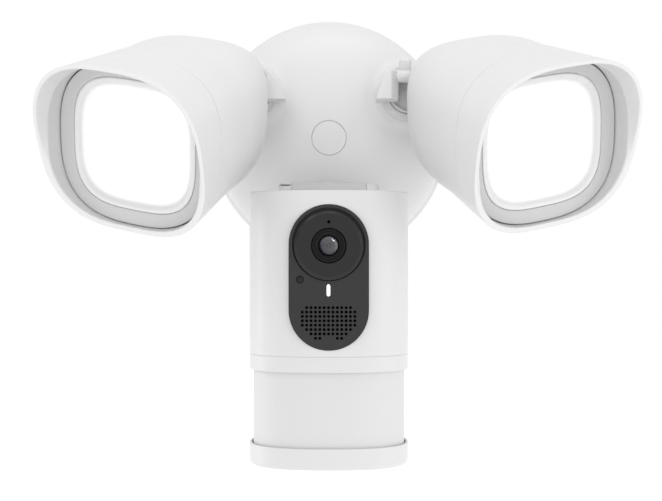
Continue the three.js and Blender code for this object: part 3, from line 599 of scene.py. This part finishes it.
def block(name, low, high, bevel=0.0, steps=3):
    """A box between two corners, with its edges rounded."""
    corners = [(low[0], low[1]), (high[0], low[1]), (high[0], high[1]), (low[0], high[1])]
    return prism(name, corners, low[2], high[2], bevel, "z", steps)


def shown_mesh(item):
    """A copy of the mesh that an object shows."""
    bpy.context.view_layer.update()
    graph = bpy.context.evaluated_depsgraph_get()
    return bpy.data.meshes.new_from_object(item.evaluated_get(graph))


def applied(made):
    """The object with its modifiers made real."""
    data = shown_mesh(made)
    made.modifiers.clear()
    made.data = data
    return made


def rounded(made, radius):
    """The object with its real edges rounded."""
    change = made.modifiers.new("round", "BEVEL")
    change.width = radius * MM
    change.segments = 3
    change.limit_method = "ANGLE"
    return applied(made)


def combine(made, others, operation):
    """made after a boolean with each of the others, which are used up."""
    for other in others:
        change = made.modifiers.new("combine", "BOOLEAN")
        change.object = other
        change.operation = operation
        change.solver = "EXACT"
    applied(made)
    for other in others:
        bpy.data.objects.remove(other)
    return made


def cut(made, *others):
    return combine(made, others, "DIFFERENCE")


def merge(made, *others):
    """One object that holds several meshes, with nothing fused."""
    mesh = bmesh.new()
    for item in (made, *others):
        mesh.from_mesh(item.data)
    mesh.to_mesh(made.data)
    mesh.free()
    for other in others:
        bpy.data.objects.remove(other)
    return made


def shade(made):
    """Smooth shading up to real edges, with flat faces kept flat beside their fillets."""
    made.data.shade_smooth()
    made.data.set_sharp_from_angle(angle=SHARP_ANGLE)
    weigh = made.modifiers.new("weigh", "WEIGHTED_NORMAL")
    weigh.keep_sharp = True


def body_of(node):
    """The moving body that a node belongs to."""
    bodies = frame["record"]["behaviour"]["bodies"]
    return next(body for body, nodes in bodies.items() if node in nodes)


def stand_in(made, node, material=None):
    """Shows made for a CAD node, on that node's body and with its finish."""
    made.name = node + "_visual"
    made.data.materials.clear()
    made.data.materials.append(material or MATERIALS[slot_of(node)])
    shade(made)
    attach(made, body_of(node))
    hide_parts(node)
    slot_of(node)


# ---- wall base
def base_shape(points):
    """How far each point is outside the dome with its two sockets, roughly in millimetres."""
    x, depth, z = points[..., 0], -points[..., 1], points[..., 2]
    radius = np.hypot(x, z)
    inside = (radius / DOME_RADIUS) ** DOME_EXPONENT
    inside += (np.maximum(depth, 0) / BASE_DEPTH) ** DOME_EXPONENT
    shape = (inside ** (1 / DOME_EXPONENT) - 1) * BASE_DEPTH
    for side in (-1, 1):
        across = np.hypot(x - side * SWIVEL_X, z - SWIVEL_Z) - (SOCKET_RADIUS - SOCKET_EDGE)
        ahead = depth - (SOCKET_FRONT - SOCKET_EDGE)
        outside = np.hypot(np.maximum(across, 0), np.maximum(ahead, 0))
        socket = outside + np.minimum(np.maximum(across, ahead), 0) - SOCKET_EDGE
        near = np.clip(0.5 + 0.5 * (shape - socket) / SOCKET_BLEND, 0, 1)
        shape = shape * (1 - near) + socket * near - SOCKET_BLEND * near * (1 - near)
    return shape


def base_housing():
    """Dome and sockets found along rays from behind the cover, then the flared rim."""
    turns = np.linspace(0, 2 * np.pi, BASE_TURNS, endpoint=False)
    tilts = np.radians(np.linspace(*BASE_TILTS, BASE_RINGS))
    tilt, turn = np.meshgrid(tilts, turns, indexing="ij")
    origin = np.array([0, 0, COVER_Z])
    ray = np.stack([np.cos(tilt) * np.cos(turn), -np.sin(tilt), np.cos(tilt) * np.sin(turn)], -1)
    near, far = np.full(tilt.shape, 5.0), np.full(tilt.shape, 90.0)  # inside, outside
    for _ in range(RAY_HALVINGS):
        middle = (near + far) / 2
        outside = base_shape(origin + ray * middle[..., None]) > 0
        near, far = np.where(outside, near, middle), np.where(outside, middle, far)
    rings = list(origin + ray * near[..., None])
    circle = np.stack([np.cos(turns), np.zeros(len(turns)), np.sin(turns)], 1)

    def flat(radius, depth, height=0):
        return circle * radius + np.array([0, -depth, height])

    rim = [flat(BASE_RADIUS - inset, depth)
           for inset, depth in ((0, 0.2), (0, 0.7), (0.25, 1.1), (0.9, BASE_RIM - 0.8))]
    hole = COVER_RADIUS + FINE_SEAM / 2
    mouth = [flat(hole + outside, BASE_DEPTH - sunk, COVER_Z)
             for outside, sunk in ((0.25, 0.06), (0.07, 0.14), (0, 0.35), (0, 3), (3, 3))]
    back = [flat(DOME_RADIUS * 0.7, BASE_DEPTH * 0.62), flat(DOME_RADIUS - 6, 12),
            flat(DOME_RADIUS - 3, 0.2)]
    return surface("base", rim + rings + mouth + back, closed=True)


def screw_cover():
    """Cap with a faint crown and a skirt."""
    r, crown = COVER_RADIUS - FINE_SEAM / 2, -BASE_DEPTH
    bore, under, skirt = r - 1.6, crown + 2, crown + 5
    profile = [(0, crown - 0.02), (r * 0.6, crown), (r, crown + 0.08), (r, skirt),
               (bore, skirt), (bore, under), (0, under)]
    return turned("cover", profile, centre=(0, 0, COVER_Z), radii=[0, 0, 0.2, 0.1, 0.1, 0.1, 0])


# ---- lamp heads
def shell_half(forward):
    """Half-size of the tapered shell at a distance in front of the lens plane."""
    return SHELL_HALF + SHELL_SLOPE * forward


def hood_reach():
    """How far the hood's rim stands in front of the lens plane, round the lamp."""
    share = (np.sin(TURN) + 1) / 2
    return HOOD_BOTTOM + (HOOD_TOP - HOOD_BOTTOM) * share**HOOD_POWER


def lamp_front_shell():
    """Hood: a tapered skin with a slanted rim, a bore that flares, and a ledge."""
    reach = hood_reach()
    back = SEAM + SEAM_WIDTH / 2
    flare = np.minimum(HOOD_FLARE, reach - 0.9)
    lip = np.where(reach < HOOD_FLARE, LOW_LIP, HOOD_LIP)
    lip = np.minimum(shell_half(reach) - HOOD_BORE, lip)
    section = [
        (shell_half(back), back, SHELL_EXPONENT),
        (shell_half(reach), reach, SHELL_EXPONENT),
        (shell_half(reach) - lip, reach, SHELL_EXPONENT),
        (HOOD_BORE, flare, SHELL_EXPONENT),
        (HOOD_BORE, HOOD_SEAT, SHELL_EXPONENT),
        (LEDGE_HALF, HOOD_SEAT, LENS_EXPONENT),
        (LEDGE_HALF, back, LENS_EXPONENT),
    ]
    return lamp_body("hood", section, [0.25, 0.8, 0.7, 0.8, 0.2, 0.2, 0.2])


def lamp_rear_shell():
    """Tapered body that closes in a rounded dome."""
    front = SEAM - SEAM_WIDTH / 2

    def skin(inset):
        start = shell_half(TAPER_END) - inset
        rows = []
        for share in np.linspace(0, 1, DOME_STEPS):
            angle = share * np.pi / 2
            half = start * (DOME_FLAT + (1 - DOME_FLAT) * np.cos(angle))
            forward = TAPER_END - (DOME_LENGTH - inset) * np.sin(angle)
            rows.append((half, forward, SHELL_EXPONENT + DOME_SQUARING * share))
        rows.append((0, rows[-1][1], rows[-1][2]))
        return rows

    outer = [(shell_half(front), front, SHELL_EXPONENT), *skin(0)]
    inner = [(shell_half(front) - WALL, front, SHELL_EXPONENT), *skin(WALL)]
    section = [*inner[::-1], *outer]
    radii = [0.0] * len(section)
    radii[len(inner) - 1] = radii[len(inner)] = 0.25
    return lamp_body("rear", section, radii, closed=False)


def lamp_bezel():
    """Flat frame that slopes a little inwards to the lens."""
    opening = LENS_HALF + LENS_CLEARANCE
    section = [
        (BEZEL_HALF, -BEZEL_THICKNESS, SHELL_EXPONENT),
        (BEZEL_HALF, -0.1, SHELL_EXPONENT),
        (opening, -0.9, LENS_EXPONENT),
        (opening, -BEZEL_THICKNESS, LENS_EXPONENT),
    ]
    return lamp_body("bezel", section, [0.2, 0.7, 0.45, 0.2])


def lamp_lens():
    """Opal lens: a flange behind the bezel, a rolled edge and a shallow dished face."""
    flange_front = -BEZEL_THICKNESS - GAP
    flange_back = flange_front - 2
    half = LENS_HALF - LENS_CLEARANCE
    rows = [
        (0, flange_back), (FLANGE_HALF, flange_back), (FLANGE_HALF, flange_front),
        (half, flange_front), (half, LENS_ROLL), (half - 1.5, LENS_ROLL),
        (half - 4.0, LENS_DISH), (half - 5.2, LENS_DISH), (half * 0.5, LENS_DISH + 0.4),
        (0, LENS_DISH + 0.6),
    ]
    section = [(r, f, LENS_EXPONENT) for r, f in rows]
    return lamp_body("lens", section, [0, 0.2, 0.2, 0.1, 0.5, 0.7, 0.9, 0.6, 0, 0], closed=False)


def lamp_matrix(centre, yaw, pitch, roll):
    """Place of a lamp's own frame, from its lens's centre and its three turns."""
    turn = Matrix.Rotation(math.radians(yaw), 4, "Z")
    turn = turn @ Matrix.Rotation(math.radians(pitch), 4, "X")
    turn = turn @ Matrix.Rotation(math.radians(-roll), 4, "Y")
    return Matrix.Translation(Vector(centre) * MM) @ turn


def hinge_eye(side, place):
    """Eye of the tilt hinge with its neck into the rear dome, in the lamp's own frame."""
    low, high = sorted((side * EYE_INNER, side * (EYE_INNER + EYE_LENGTH)))
    eye = rod("eye", EYE_RADIUS, low, high, "x", (0, HINGE_Y, HINGE_Z), 0.8)
    back = place.inverted()
    eye.data.transform(back)
    x, y, z = back @ (Vector(((low + high) / 2, HINGE_Y, HINGE_Z)) * MM) / MM
    half_width, length, half_height = NECK
    neck = block("neck", (x - half_width, y - length, z - half_height),
                 (x + half_width, y, z + half_height), 1.8, 4)
    return merge(eye, neck)


def add_lamp(name, side, centre, yaw, pitch, roll):
    """The four outer pieces of a lamp head."""
    place = lamp_matrix(centre, yaw, pitch, roll)
    rear = merge(lamp_rear_shell(), hinge_eye(side, place))
    shown = {
        "lamp_front_shell": lamp_front_shell(),
        "lamp_rear_shell": rear,
        "lamp_bezel": lamp_bezel(),
        "lamp_lens": lamp_lens(),
    }
    for kind, made in shown.items():
        if kind == "lamp_lens":
            made.matrix_world = place  # its glow is measured in the lamp's own frame
            made.visible_diffuse = False  # the hood stays in its own shade
        else:
            made.data.transform(place)
        stand_in(made, f"{kind}_{name}", SPECIAL.get(kind))


# ---- lamp knuckles
def ear_face(name, height):
    """Distance from the middle to an ear's slanted inner face, at a height."""
    foot, top = EAR_FACES[name]
    return foot + (top - foot) * (height - EAR_LOW) / (EAR_HIGH - EAR_LOW)


def hinge_ear(name, side):
    """Ear with a slanted inner face, and the sunk seat of its clamp screw."""
    foot, top = EAR_FACES[name]
    back = FLANGE_FRONT + 2
    corners = [
        (foot, EAR_FRONT), (EAR_OUTER - EAR_BEVEL, EAR_FRONT),
        (EAR_OUTER, EAR_FRONT + EAR_BEVEL), (EAR_OUTER, back), (foot, back),
    ]
    above = [(side * x, y) for x, y in corners]
    corners = [(foot, EAR_LOW), (EAR_OUTER, EAR_LOW), (EAR_OUTER, EAR_HIGH), (top, EAR_HIGH)]
    ahead = [(side * x, z) for x, z in corners]
    ear = prism("ear", above, EAR_LOW, EAR_HIGH)
    ear = combine(ear, [prism("ahead", ahead, EAR_FRONT - 1, back + 1, axis="y")], "INTERSECT")
    ear = rounded(ear, EAR_EDGE)
    low, high = sorted((side * (foot - 1), side * (screw_head(name) + SCREW_HEAD_LENGTH + GAP)))
    return cut(ear, rod("sink", SCREW_HEAD + GAP, low, high, "x", (0, HINGE_Y, HINGE_Z)))


def screw_head(name):
    """Where the head of a clamp screw starts: just under the ear's slanted face."""
    return ear_face(name, HINGE_Z + SCREW_HEAD) + 0.2


def clamp_screw(name, side):
    """Pan-head screw with a cross recess, along the tilt hinge."""
    start = screw_head(name)
    end = start + SCREW_HEAD_LENGTH
    tip = EYE_INNER + 6
    profile = [(0, start), (SCREW_HEAD, start), (SCREW_HEAD, end), (HINGE_SCREW, end),
               (HINGE_SCREW, tip), (0, tip)]
    profile = [(radius, side * x) for radius, x in profile]
    screw = turned("screw", profile, "x", (0, HINGE_Y, HINGE_Z), [0, 0.5, 0.1, 0.1, 0.3, 0])
    half_length, half_width, depth = CROSS
    low, high = sorted((side * (start - 1), side * (start + depth)))
    slots = []
    for half_y, half_z in ((half_length, half_width), (half_width, half_length)):
        slots.append(block("recess", (low, HINGE_Y - half_y, HINGE_Z - half_z),
                           (high, HINGE_Y + half_y, HINGE_Z + half_z)))
    return cut(screw, *slots)


def lamp_swivel(name, side):
    """Flange with a ring groove and a well, the hinge ear, its sleeve and a stop finger."""
    front = FLANGE_FRONT
    face_radius, face_height = FLANGE_FACE
    step = front + face_height
    groove_inner, groove_outer, groove_depth = RING_GROOVE
    groove, well = front + groove_depth, front + WELL_DEPTH
    profile = [
        (STEM_BORE, STEM_END), (STEM_RADIUS, STEM_END), (STEM_RADIUS, FLANGE_BACK),
        (FLANGE_RADIUS, FLANGE_BACK), (FLANGE_RADIUS, step), (face_radius + 0.2, step),
        (face_radius, front), (groove_outer, front), (groove_outer, groove),
        (groove_inner, groove), (groove_inner, front), (WELL_RADIUS, front),
        (WELL_RADIUS - 0.5, well), (STEM_BORE, well),
    ]
    centre = (side * SWIVEL_X, 0, SWIVEL_Z)
    flange = turned("flange", profile, "y", centre, radii=0.3, closed=True)
    low, high = sorted((side * (EAR_OUTER - 1), side * (EYE_INNER - GAP)))
    sleeve = rod("sleeve", SLEEVE_RADIUS, low, high, "x", (0, HINGE_Y, HINGE_Z), 0.4)
    low, high = sorted((side * FINGER_INNER, side * FINGER_OUTER))
    finger = block("finger", (low, front - FINGER_REACH, FINGER_LOW),
                   (high, front + 2, FINGER_TOP), 2.2, 5)
    return merge(flange, hinge_ear(name, side), sleeve, finger)


# ---- camera arm and knuckle
def camera_arm():
    """Square root on a round foot, and a flat tongue with a round nose round the pan pin."""
    root = block("root", (-ARM_HALF_WIDTH, -44, TILT_Z - 9), (ARM_HALF_WIDTH, -18, TILT_Z + 7),
                 2.0, 4)
    foot = rod("foot", ARM_FOOT_RADIUS, -42, -18.5, "y", (0, 0, TILT_Z - 1), 1.2)
    low, high = TILT_Z - TONGUE_HALF, TILT_Z + TONGUE_HALF
    tongue = block("tongue", (-TONGUE_HALF_WIDTH, TILT_Y, low), (TONGUE_HALF_WIDTH, -40, high),
                   0.6)
    nose = rod("nose", TONGUE_HALF_WIDTH, low, high, "z", (0, TILT_Y, 0), 0.6)
    return merge(root, foot, tongue, nose)


def pan_barrel():
    """Barrel with a trunnion at each end, slotted for the tongue and bored for the pan pin."""
    half, pin, end = BARREL_HALF + 0.2, TRUNNION_RADIUS, TRUNNION_END
    profile = [(0, -end), (pin, -end), (pin, -half), (BARREL_RADIUS, -half),
               (BARREL_RADIUS, half), (pin, half), (pin, end), (0, end)]
    barrel = turned("barrel", profile, "x", (0, TILT_Y, TILT_Z), radii=0.1)
    width, height = BARREL_HALF - BARREL_WALL, TONGUE_HALF + GAP
    slot = block("slot", (-width, TILT_Y - TONGUE_HALF_WIDTH - 2 * GAP, TILT_Z - height),
                 (width, TILT_Y + 20, TILT_Z + height))
    bore = rod("bore", PAN_PIN + GAP, TILT_Z - 12, TILT_Z + 12, "z", (0, TILT_Y, 0))
    return cut(barrel, slot, bore)


# ---- camera head
def pill_outline(half_width, half_height, steps):
    """Corners of an upright pill about its own middle."""
    straight = half_height - half_width
    turn = np.linspace(0, np.pi, steps)
    top = [(half_width * math.cos(t), straight + half_width * math.sin(t)) for t in turn]
    return top + [(-x, -z) for x, z in top]


def panel_pill(name, margin, depth_from, depth_to):
    """Upright rounded slab, larger than the face panel by a margin on every side."""
    outline = pill_outline(PANEL_HALF_WIDTH + margin, PANEL_HALF_HEIGHT + margin, 64)
    return prism(name, [(x, PANEL_Z + z) for x, z in outline], depth_from, depth_to, axis="y")


def solid_column(name, inset, low, high, low_edge=0.0, high_edge=0.0):
    """A solid length of the column, with its two end edges rounded."""
    section = [(CORE_INSET, low), (inset, low), (inset, high), (CORE_INSET, high)]
    return column(name, section, [0, low_edge, high_edge, 0], closed=False)


def body_column(name):
    """Hollow column from the collar's seam to the top, open below."""
    low = BODY_SEAM + COLLAR_SEAM / 2
    shell = solid_column(name, 0, low, BODY_TOP, 0.15, 0.7)
    return cut(shell, solid_column("core", WALL, low - 2, BODY_TOP - WALL))


def camera_front_shell():
    """Front half of the column, with a recess and a ledge for the face panel."""
    behind = block("behind", (-FAR, BODY_SPLIT - GAP / 2, -FAR), (FAR, FAR, FAR))
    back = PANEL_FRONT + PANEL_DEPTH + GAP
    ledge = panel_pill("ledge", PANEL_LEDGE, back, back + PANEL_FLOOR)
    limit = solid_column("limit", WALL / 2, BODY_SEAM + 1, BODY_TOP - 1)
    ledge = combine(ledge, [limit], "INTERSECT")
    recess = panel_pill("recess", 0.2, -FAR, back)
    window = panel_pill("window", -PANEL_RIM, -FAR, -100)
    shell = combine(body_column("front"), [ledge], "UNION")
    return cut(shell, recess, window, behind)


def trunnion_ear(side):
    """Round ear beside the barrel, rounded off at its outer end."""
    inner, outer, radius = side * (BARREL_HALF + 0.32), side * EAR_END, BARREL_RADIUS - 0.1
    profile = [(0, inner), (radius, inner), (radius, outer), (0, outer)]
    return turned("ear", profile, "x", (0, TILT_Y, TILT_Z), [0, 0.1, 3, 0])


def camera_rear_shell():
    """Rear half of the column, with a walled notch for the barrel between two ears."""
    ahead = block("ahead", (-FAR, -FAR, -FAR), (FAR, BODY_SPLIT + GAP / 2, FAR))
    half = BARREL_HALF + GAP
    notch = block("notch", (-half, NOTCH_FRONT, NOTCH_LOW), (half, FAR, FAR))
    pocket = block("pocket", (-half - WALL, NOTCH_FRONT - WALL, NOTCH_LOW - WALL),
                   (half + WALL, -40, BODY_TOP - 0.05))
    limit = solid_column("limit", 0.2, BODY_SEAM, BODY_TOP - 0.1)
    pocket = combine(pocket, [limit], "INTERSECT")
    shell = combine(body_column("rear"), [pocket], "UNION")
    shell = cut(shell, ahead, notch)
    low, high = EAR_SLIT
    slit = block("slit", (-EAR_END - 1, TILT_Y - 12, low), (-half - 0.6, TILT_Y, high))
    return merge(shell, cut(trunnion_ear(-1), slit), trunnion_ear(1))


def camera_collar():
    """Band round the column, with a lip up into the shells and a seat for the window."""
    top, low = BODY_SEAM - COLLAR_SEAM / 2, COLLAR_BOTTOM
    seat, lip = low + 1.5, top + 1
    bore = WINDOW_INSET - 0.15
    section = [(0, low), (0, top), (WALL, top), (WALL, lip), (2 * WALL, lip), (2 * WALL, seat),
               (bore, seat), (bore, low)]
    return column("collar", section, [0.7, 0.15, 0.2, 0.2, 0.2, 0.1, 0.1, 0.35])


def motion_window():
    """Curved window all the way round, held in the collar and the cap."""
    low, high, inside = CAP_TOP - 3, COLLAR_BOTTOM + 1.2, WINDOW_INSET + 1.6
    section = [(WINDOW_INSET, low), (WINDOW_INSET, high), (inside, high), (inside, low)]
    return column("window", section, 0.2)


def bottom_cap():
    """Cup with a thin rim that stands clear of the window, and a rounded underside."""
    top = CAP_TOP - 0.1
    floor = top - 3.5
    rim = 1.0 + 0.75 * np.abs(np.sin(TURN)) ** 0.6  # thicker at the front and back
    section = [(CORE_INSET, CAP_BOTTOM), (0, CAP_BOTTOM), (0, top), (rim, top), (rim, floor),
               (CORE_INSET, floor)]
    cap = column("cap", section, [0, 2.4, 0.35, 0.25, 0.2, 0], closed=False)
    hole = rod("hole", BUTTON_RADIUS + GAP, CAP_BOTTOM - 2, CAP_BOTTOM + 2, "z",
               (0, BUTTON_Y, 0))
    return cut(cap, hole)


def sync_button():
    face = CAP_BOTTOM + 0.4
    return rod("button", BUTTON_RADIUS, face, face + 3.4, "z", (0, BUTTON_Y, 0), 0.6)


# ---- front panel and optics
def grille_holes():
    """Centres of the speaker's holes."""
    middle = (GRILLE_COLUMNS - 1) / 2
    for row, columns in enumerate(GRILLE_ROWS):
        for place in columns:
            yield (place - middle) * GRILLE_PITCH - 0.1, GRILLE_TOP - row * GRILLE_PITCH


def add_circle(curve, x, z, radius):
    """A circle in a flat curve, from four Bezier points."""
    handle = radius * BEZIER_ROUND
    line = curve.splines.new("BEZIER")
    line.bezier_points.add(3)
    line.use_cyclic_u = True
    for quarter, point in enumerate(line.bezier_points):
        c, s = math.cos(quarter * math.pi / 2), math.sin(quarter * math.pi / 2)
        place = Vector((x + radius * c, z + radius * s, 0))
        along = Vector((-s, c, 0)) * handle
        point.co = place * MM
        point.handle_left = (place - along) * MM
        point.handle_right = (place + along) * MM


def add_pill(curve, x, z, half_width, half_height, steps=40):
    """An upright pill in a flat curve."""
    points = pill_outline(half_width, half_height, steps)
    line = curve.splines.new("POLY")
    line.points.add(len(points) - 1)
    line.use_cyclic_u = True
    for point, (a, b) in zip(line.points, points):
        point.co = ((x + a) * MM, (z + b) * MM, 0, 1)


def plate(name, draw, front, back, edge):
    """A flat plate with holes from a drawn curve, its edges rounded, facing -Y."""
    curve = bpy.data.curves.new(name, "CURVE")
    curve.dimensions = "2D"
    curve.fill_mode = "BOTH"
    curve.resolution_u = 6
    draw(curve)
    curve.extrude = (back - front) / 2 * MM - edge * MM
    curve.bevel_depth = edge * MM
    curve.bevel_resolution = 2
    curve.offset = -edge * MM
    drawn = new_object(name, curve)
    data = shown_mesh(drawn)
    bpy.data.objects.remove(drawn)
    mesh = bmesh.new()
    mesh.from_mesh(data)
    mesh.transform(Matrix.Rotation(math.pi / 2, 4, "X"))
    mesh.transform(Matrix.Translation((0, (front + back) / 2 * MM, 0)))
    return piece_from(mesh, name)


def face_panel():
    """Pill-shaped plate with the speaker's grille, and a groove round the lens surround."""
    def draw(curve):
        add_pill(curve, 0, PANEL_Z, PANEL_HALF_WIDTH, PANEL_HALF_HEIGHT)
        add_circle(curve, 0, EYE_Z, BARREL_FACE_RADIUS + GAP)
        add_circle(curve, LIGHT_SENSOR_X, LIGHT_SENSOR_Z, LIGHT_SENSOR_RADIUS + 0.23)
        add_circle(curve, 0, MICROPHONE_Z, PINHOLE_RADIUS)
        add_pill(curve, STATUS_X, STATUS_Z, STATUS_HALF_WIDTH + 0.18, STATUS_HALF_HEIGHT + 0.2,
                 16)
        for x, z in grille_holes():
            add_circle(curve, x, z, GRILLE_HOLE)

    panel = plate("panel", draw, PANEL_FRONT, PANEL_FRONT + PANEL_DEPTH, PANEL_EDGE)
    inner, outer, depth = PLATE_GROOVE
    ahead, floor = PANEL_FRONT - 1, PANEL_FRONT + depth
    profile = [(inner, ahead), (outer, ahead), (outer, floor), (inner, floor)]
    centre = (0, 0, EYE_Z + PLATE_GROOVE_LIFT)
    return cut(panel, turned("groove", profile, "y", centre, radii=0, closed=True))


def lens_surround():
    """Ring with a broad bevel, and the microphone's pinhole above the lens."""
    front, back = LENS_PLATE_FRONT, PANEL_FRONT - 0.1
    inner = BARREL_FACE_RADIUS + 0.35
    profile = [(inner, back), (LENS_PLATE_RADIUS, back), (LENS_PLATE_RADIUS, front + 1.2),
               (LENS_PLATE_RADIUS - 1.6, front), (inner + 0.5, front), (inner, front + 0.6)]
    ring = turned("surround", profile, "y", (0, 0, EYE_Z), [0, 0, 0.35, 0.5, 0.15, 0.1],
                  closed=True)
    pinhole = rod("pin", PINHOLE_RADIUS, front - 1, front + 1.7, "y", (0, 0, MICROPHONE_Z))
    return cut(ring, pinhole)


def lens_barrel():
    """Cone of fine baffle steps from the front ring down to the glass."""
    face = LENS_PLATE_FRONT + 0.5
    steps = [(GLASS_RADIUS + 0.25, face + 6), (GLASS_RADIUS + 0.25, face + 3.4)]
    radius, depth = 5.3, 3.2
    while radius < 7.0:
        steps += [(radius, face + depth), (radius, face + depth - BAFFLE_HEIGHT)]
        radius, depth = radius + BAFFLE_STEP, depth - BAFFLE_RISE
    outer = [(7.1, face + 0.1), (7.3, face - 0.2), (BARREL_FACE_RADIUS, face),
             (BARREL_FACE_RADIUS, face + 12), (7, face + 12), (7, face + 28), (5.6, face + 28),
             (5.6, face + 6)]
    return turned("barrel", steps + outer, "y", (0, 0, EYE_Z), 0.08, closed=True)


def lens_glass():
    """Domed front element."""
    rim, height = LENS_PLATE_FRONT + 4, 2.0
    bend = [(GLASS_RADIUS * math.sin(t), rim - height * math.cos(t))
            for t in np.linspace(0, np.pi / 2, 22)]
    profile = bend + [(GLASS_RADIUS, rim + 1.8), (0, rim + 1.8)]
    return turned("glass", profile, "y", (0, 0, EYE_Z), 0)


def status_light_pipe():
    def draw(curve):
        add_pill(curve, STATUS_X, STATUS_Z, STATUS_HALF_WIDTH, STATUS_HALF_HEIGHT, 16)

    return plate("pipe", draw, PANEL_FRONT + 0.12, PANEL_FRONT + 4, 0.12)


def light_sensor_window():
    """Small domed rod of tinted plastic."""
    front, radius = PANEL_FRONT + 0.25, LIGHT_SENSOR_RADIUS
    profile = [(0, front - 0.2), (1.0, front - 0.12), (radius, front + 0.1), (radius, front + 4),
               (0, front + 4)]
    centre = (LIGHT_SENSOR_X, 0, LIGHT_SENSOR_Z)
    return turned("sensor", profile, "y", centre, [0, 0.2, 0.1, 0.1, 0])


def microphone():
    """Capsule with a sunk sound screen behind the pinhole."""
    back = PANEL_FRONT + PANEL_DEPTH + GAP
    profile = [(0, back + 1.2), (1.4, back + 1.2), (1.4, back), (2.6, back), (2.6, back + 2.6),
               (0, back + 2.6)]
    return turned("capsule", profile, "y", (0, 0, MICROPHONE_Z + 1.9), [0, 0.1, 0.2, 0.3, 0.2, 0])


# Each of these is named after the node that it stands in for.
BUILDERS = [
    base_housing, screw_cover, camera_arm, pan_barrel, camera_front_shell, camera_rear_shell,
    camera_collar, motion_window, bottom_cap, sync_button, face_panel, lens_surround,
    lens_barrel, lens_glass, light_sensor_window, microphone, status_light_pipe,
]

for name, cad in frame["nodes"].items():
    cad.data.materials.clear()
    cad.data.materials.append(MATERIALS[slot_of(name)])
    slot_of(name)
for build in BUILDERS:
    stand_in(build(), build.__name__, SPECIAL.get(build.__name__))
for name, (side, centre, yaw, pitch, roll) in LAMP_POSES.items():
    add_lamp(name, side, centre, yaw, pitch, roll)
    stand_in(lamp_swivel(name, side), f"lamp_swivel_{name}")
    stand_in(clamp_screw(name, side), f"clamp_screw_{name}")


# ---- studio, in metres and watts
MIDDLE = (0, -0.08, -0.03)
CAMERA_PLACE = (0.0011, -0.9, -0.0636)
CAMERA_LENS = 85.4
EDGE_LIGHTS = {"left_edge": ((-0.75, 0.16, -0.05), 0.8), "right_edge": ((0.9, -0.3, -0.25), 0.6)}
COLUMN_NODES = ["camera_front_shell", "camera_rear_shell", "camera_collar", "motion_window",
                "bottom_cap"]


def add_floor():
    """Pale floor well below the object, which hangs on a wall."""
    bpy.ops.mesh.primitive_plane_add(size=12, location=(0, 0, -0.45))
    floor = bpy.context.object
    floor.name = "floor"
    node, finish = new_material("floor")
    clouds = noise(node, object_coordinates(node), 3)
    floor.data.materials.append(finish({
        "Base Color": blend_colours(node, clouds, (0.86, 0.86, 0.86), (0.9, 0.9, 0.9)),
        "Roughness": 0.9,
        "Emission Color": WHITE,
        "Emission Strength": 0.3,
    }))


def add_light(name, place, aim, size, power, height=None):
    """An area light, square unless it has a height of its own."""
    data = bpy.data.lights.new(name, "AREA")
    data.energy, data.size = power, size
    if height:
        data.shape = "RECTANGLE"
        data.size_y = height
    light = new_object(name, data)
    light.location = place
    light.rotation_euler = (Vector(aim) - Vector(place)).to_track_quat("-Z", "Y").to_euler()
    return light


def light_only(light, nodes):
    """Keeps a light to the pieces that stand in for these nodes."""
    lit = bpy.data.collections.new(light.name + "_lit")
    for node in nodes:
        lit.objects.link(bpy.data.objects[node + "_visual"])
    light.light_linking.receiver_collection = lit


def add_world(strength):
    """Even white light from all sides, and the white background."""
    world = bpy.data.worlds.new("studio")
    world.use_nodes = True
    background = world.node_tree.nodes["Background"]
    background.inputs["Color"].default_value = WHITE
    background.inputs["Strength"].default_value = strength
    bpy.context.scene.world = world


def add_camera():
    """Camera that sees the object as the photo does."""
    data = bpy.data.cameras.new("camera")
    data.lens = CAMERA_LENS
    data.sensor_width = 36
    data.clip_start = 0.01
    data.clip_end = 60
    data.dof.use_dof = False
    camera = new_object("camera", data)
    camera.location = CAMERA_PLACE
    camera.rotation_euler = (math.pi / 2, 0, 0)
    bpy.context.scene.camera = camera


add_floor()
add_world(1.0)
add_light("top", (0.05, -0.24, 1.1), MIDDLE, 0.4, 1.0)
add_light("right", (1.0, -0.75, 0.35), MIDDLE, 0.7, 1.8)
add_light("top_left", (-0.7, -0.5, 0.8), MIDDLE, 0.5, 1.6)
for name, (place, power) in EDGE_LIGHTS.items():
    light_only(add_light(name, place, MIDDLE, 0.25, power, 0.6), COLUMN_NODES)
glint = add_light("glint", (0.46, -0.66, 0.46), (0, -0.12, -0.06), 0.3, 5.0)
light_only(glint, ["lens_glass"])
fill = add_light("fill", (0, -1.3, 0.1), MIDDLE, 1.0, 3.0)
light_only(fill, ["base_housing", "screw_cover"] + [
    f"{kind}_{name}" for name in LAMP_POSES
    for kind in ("lamp_swivel", "lamp_rear_shell", "lamp_front_shell")
])
add_camera()
bpy.context.scene.view_settings.view_transform = "Standard"
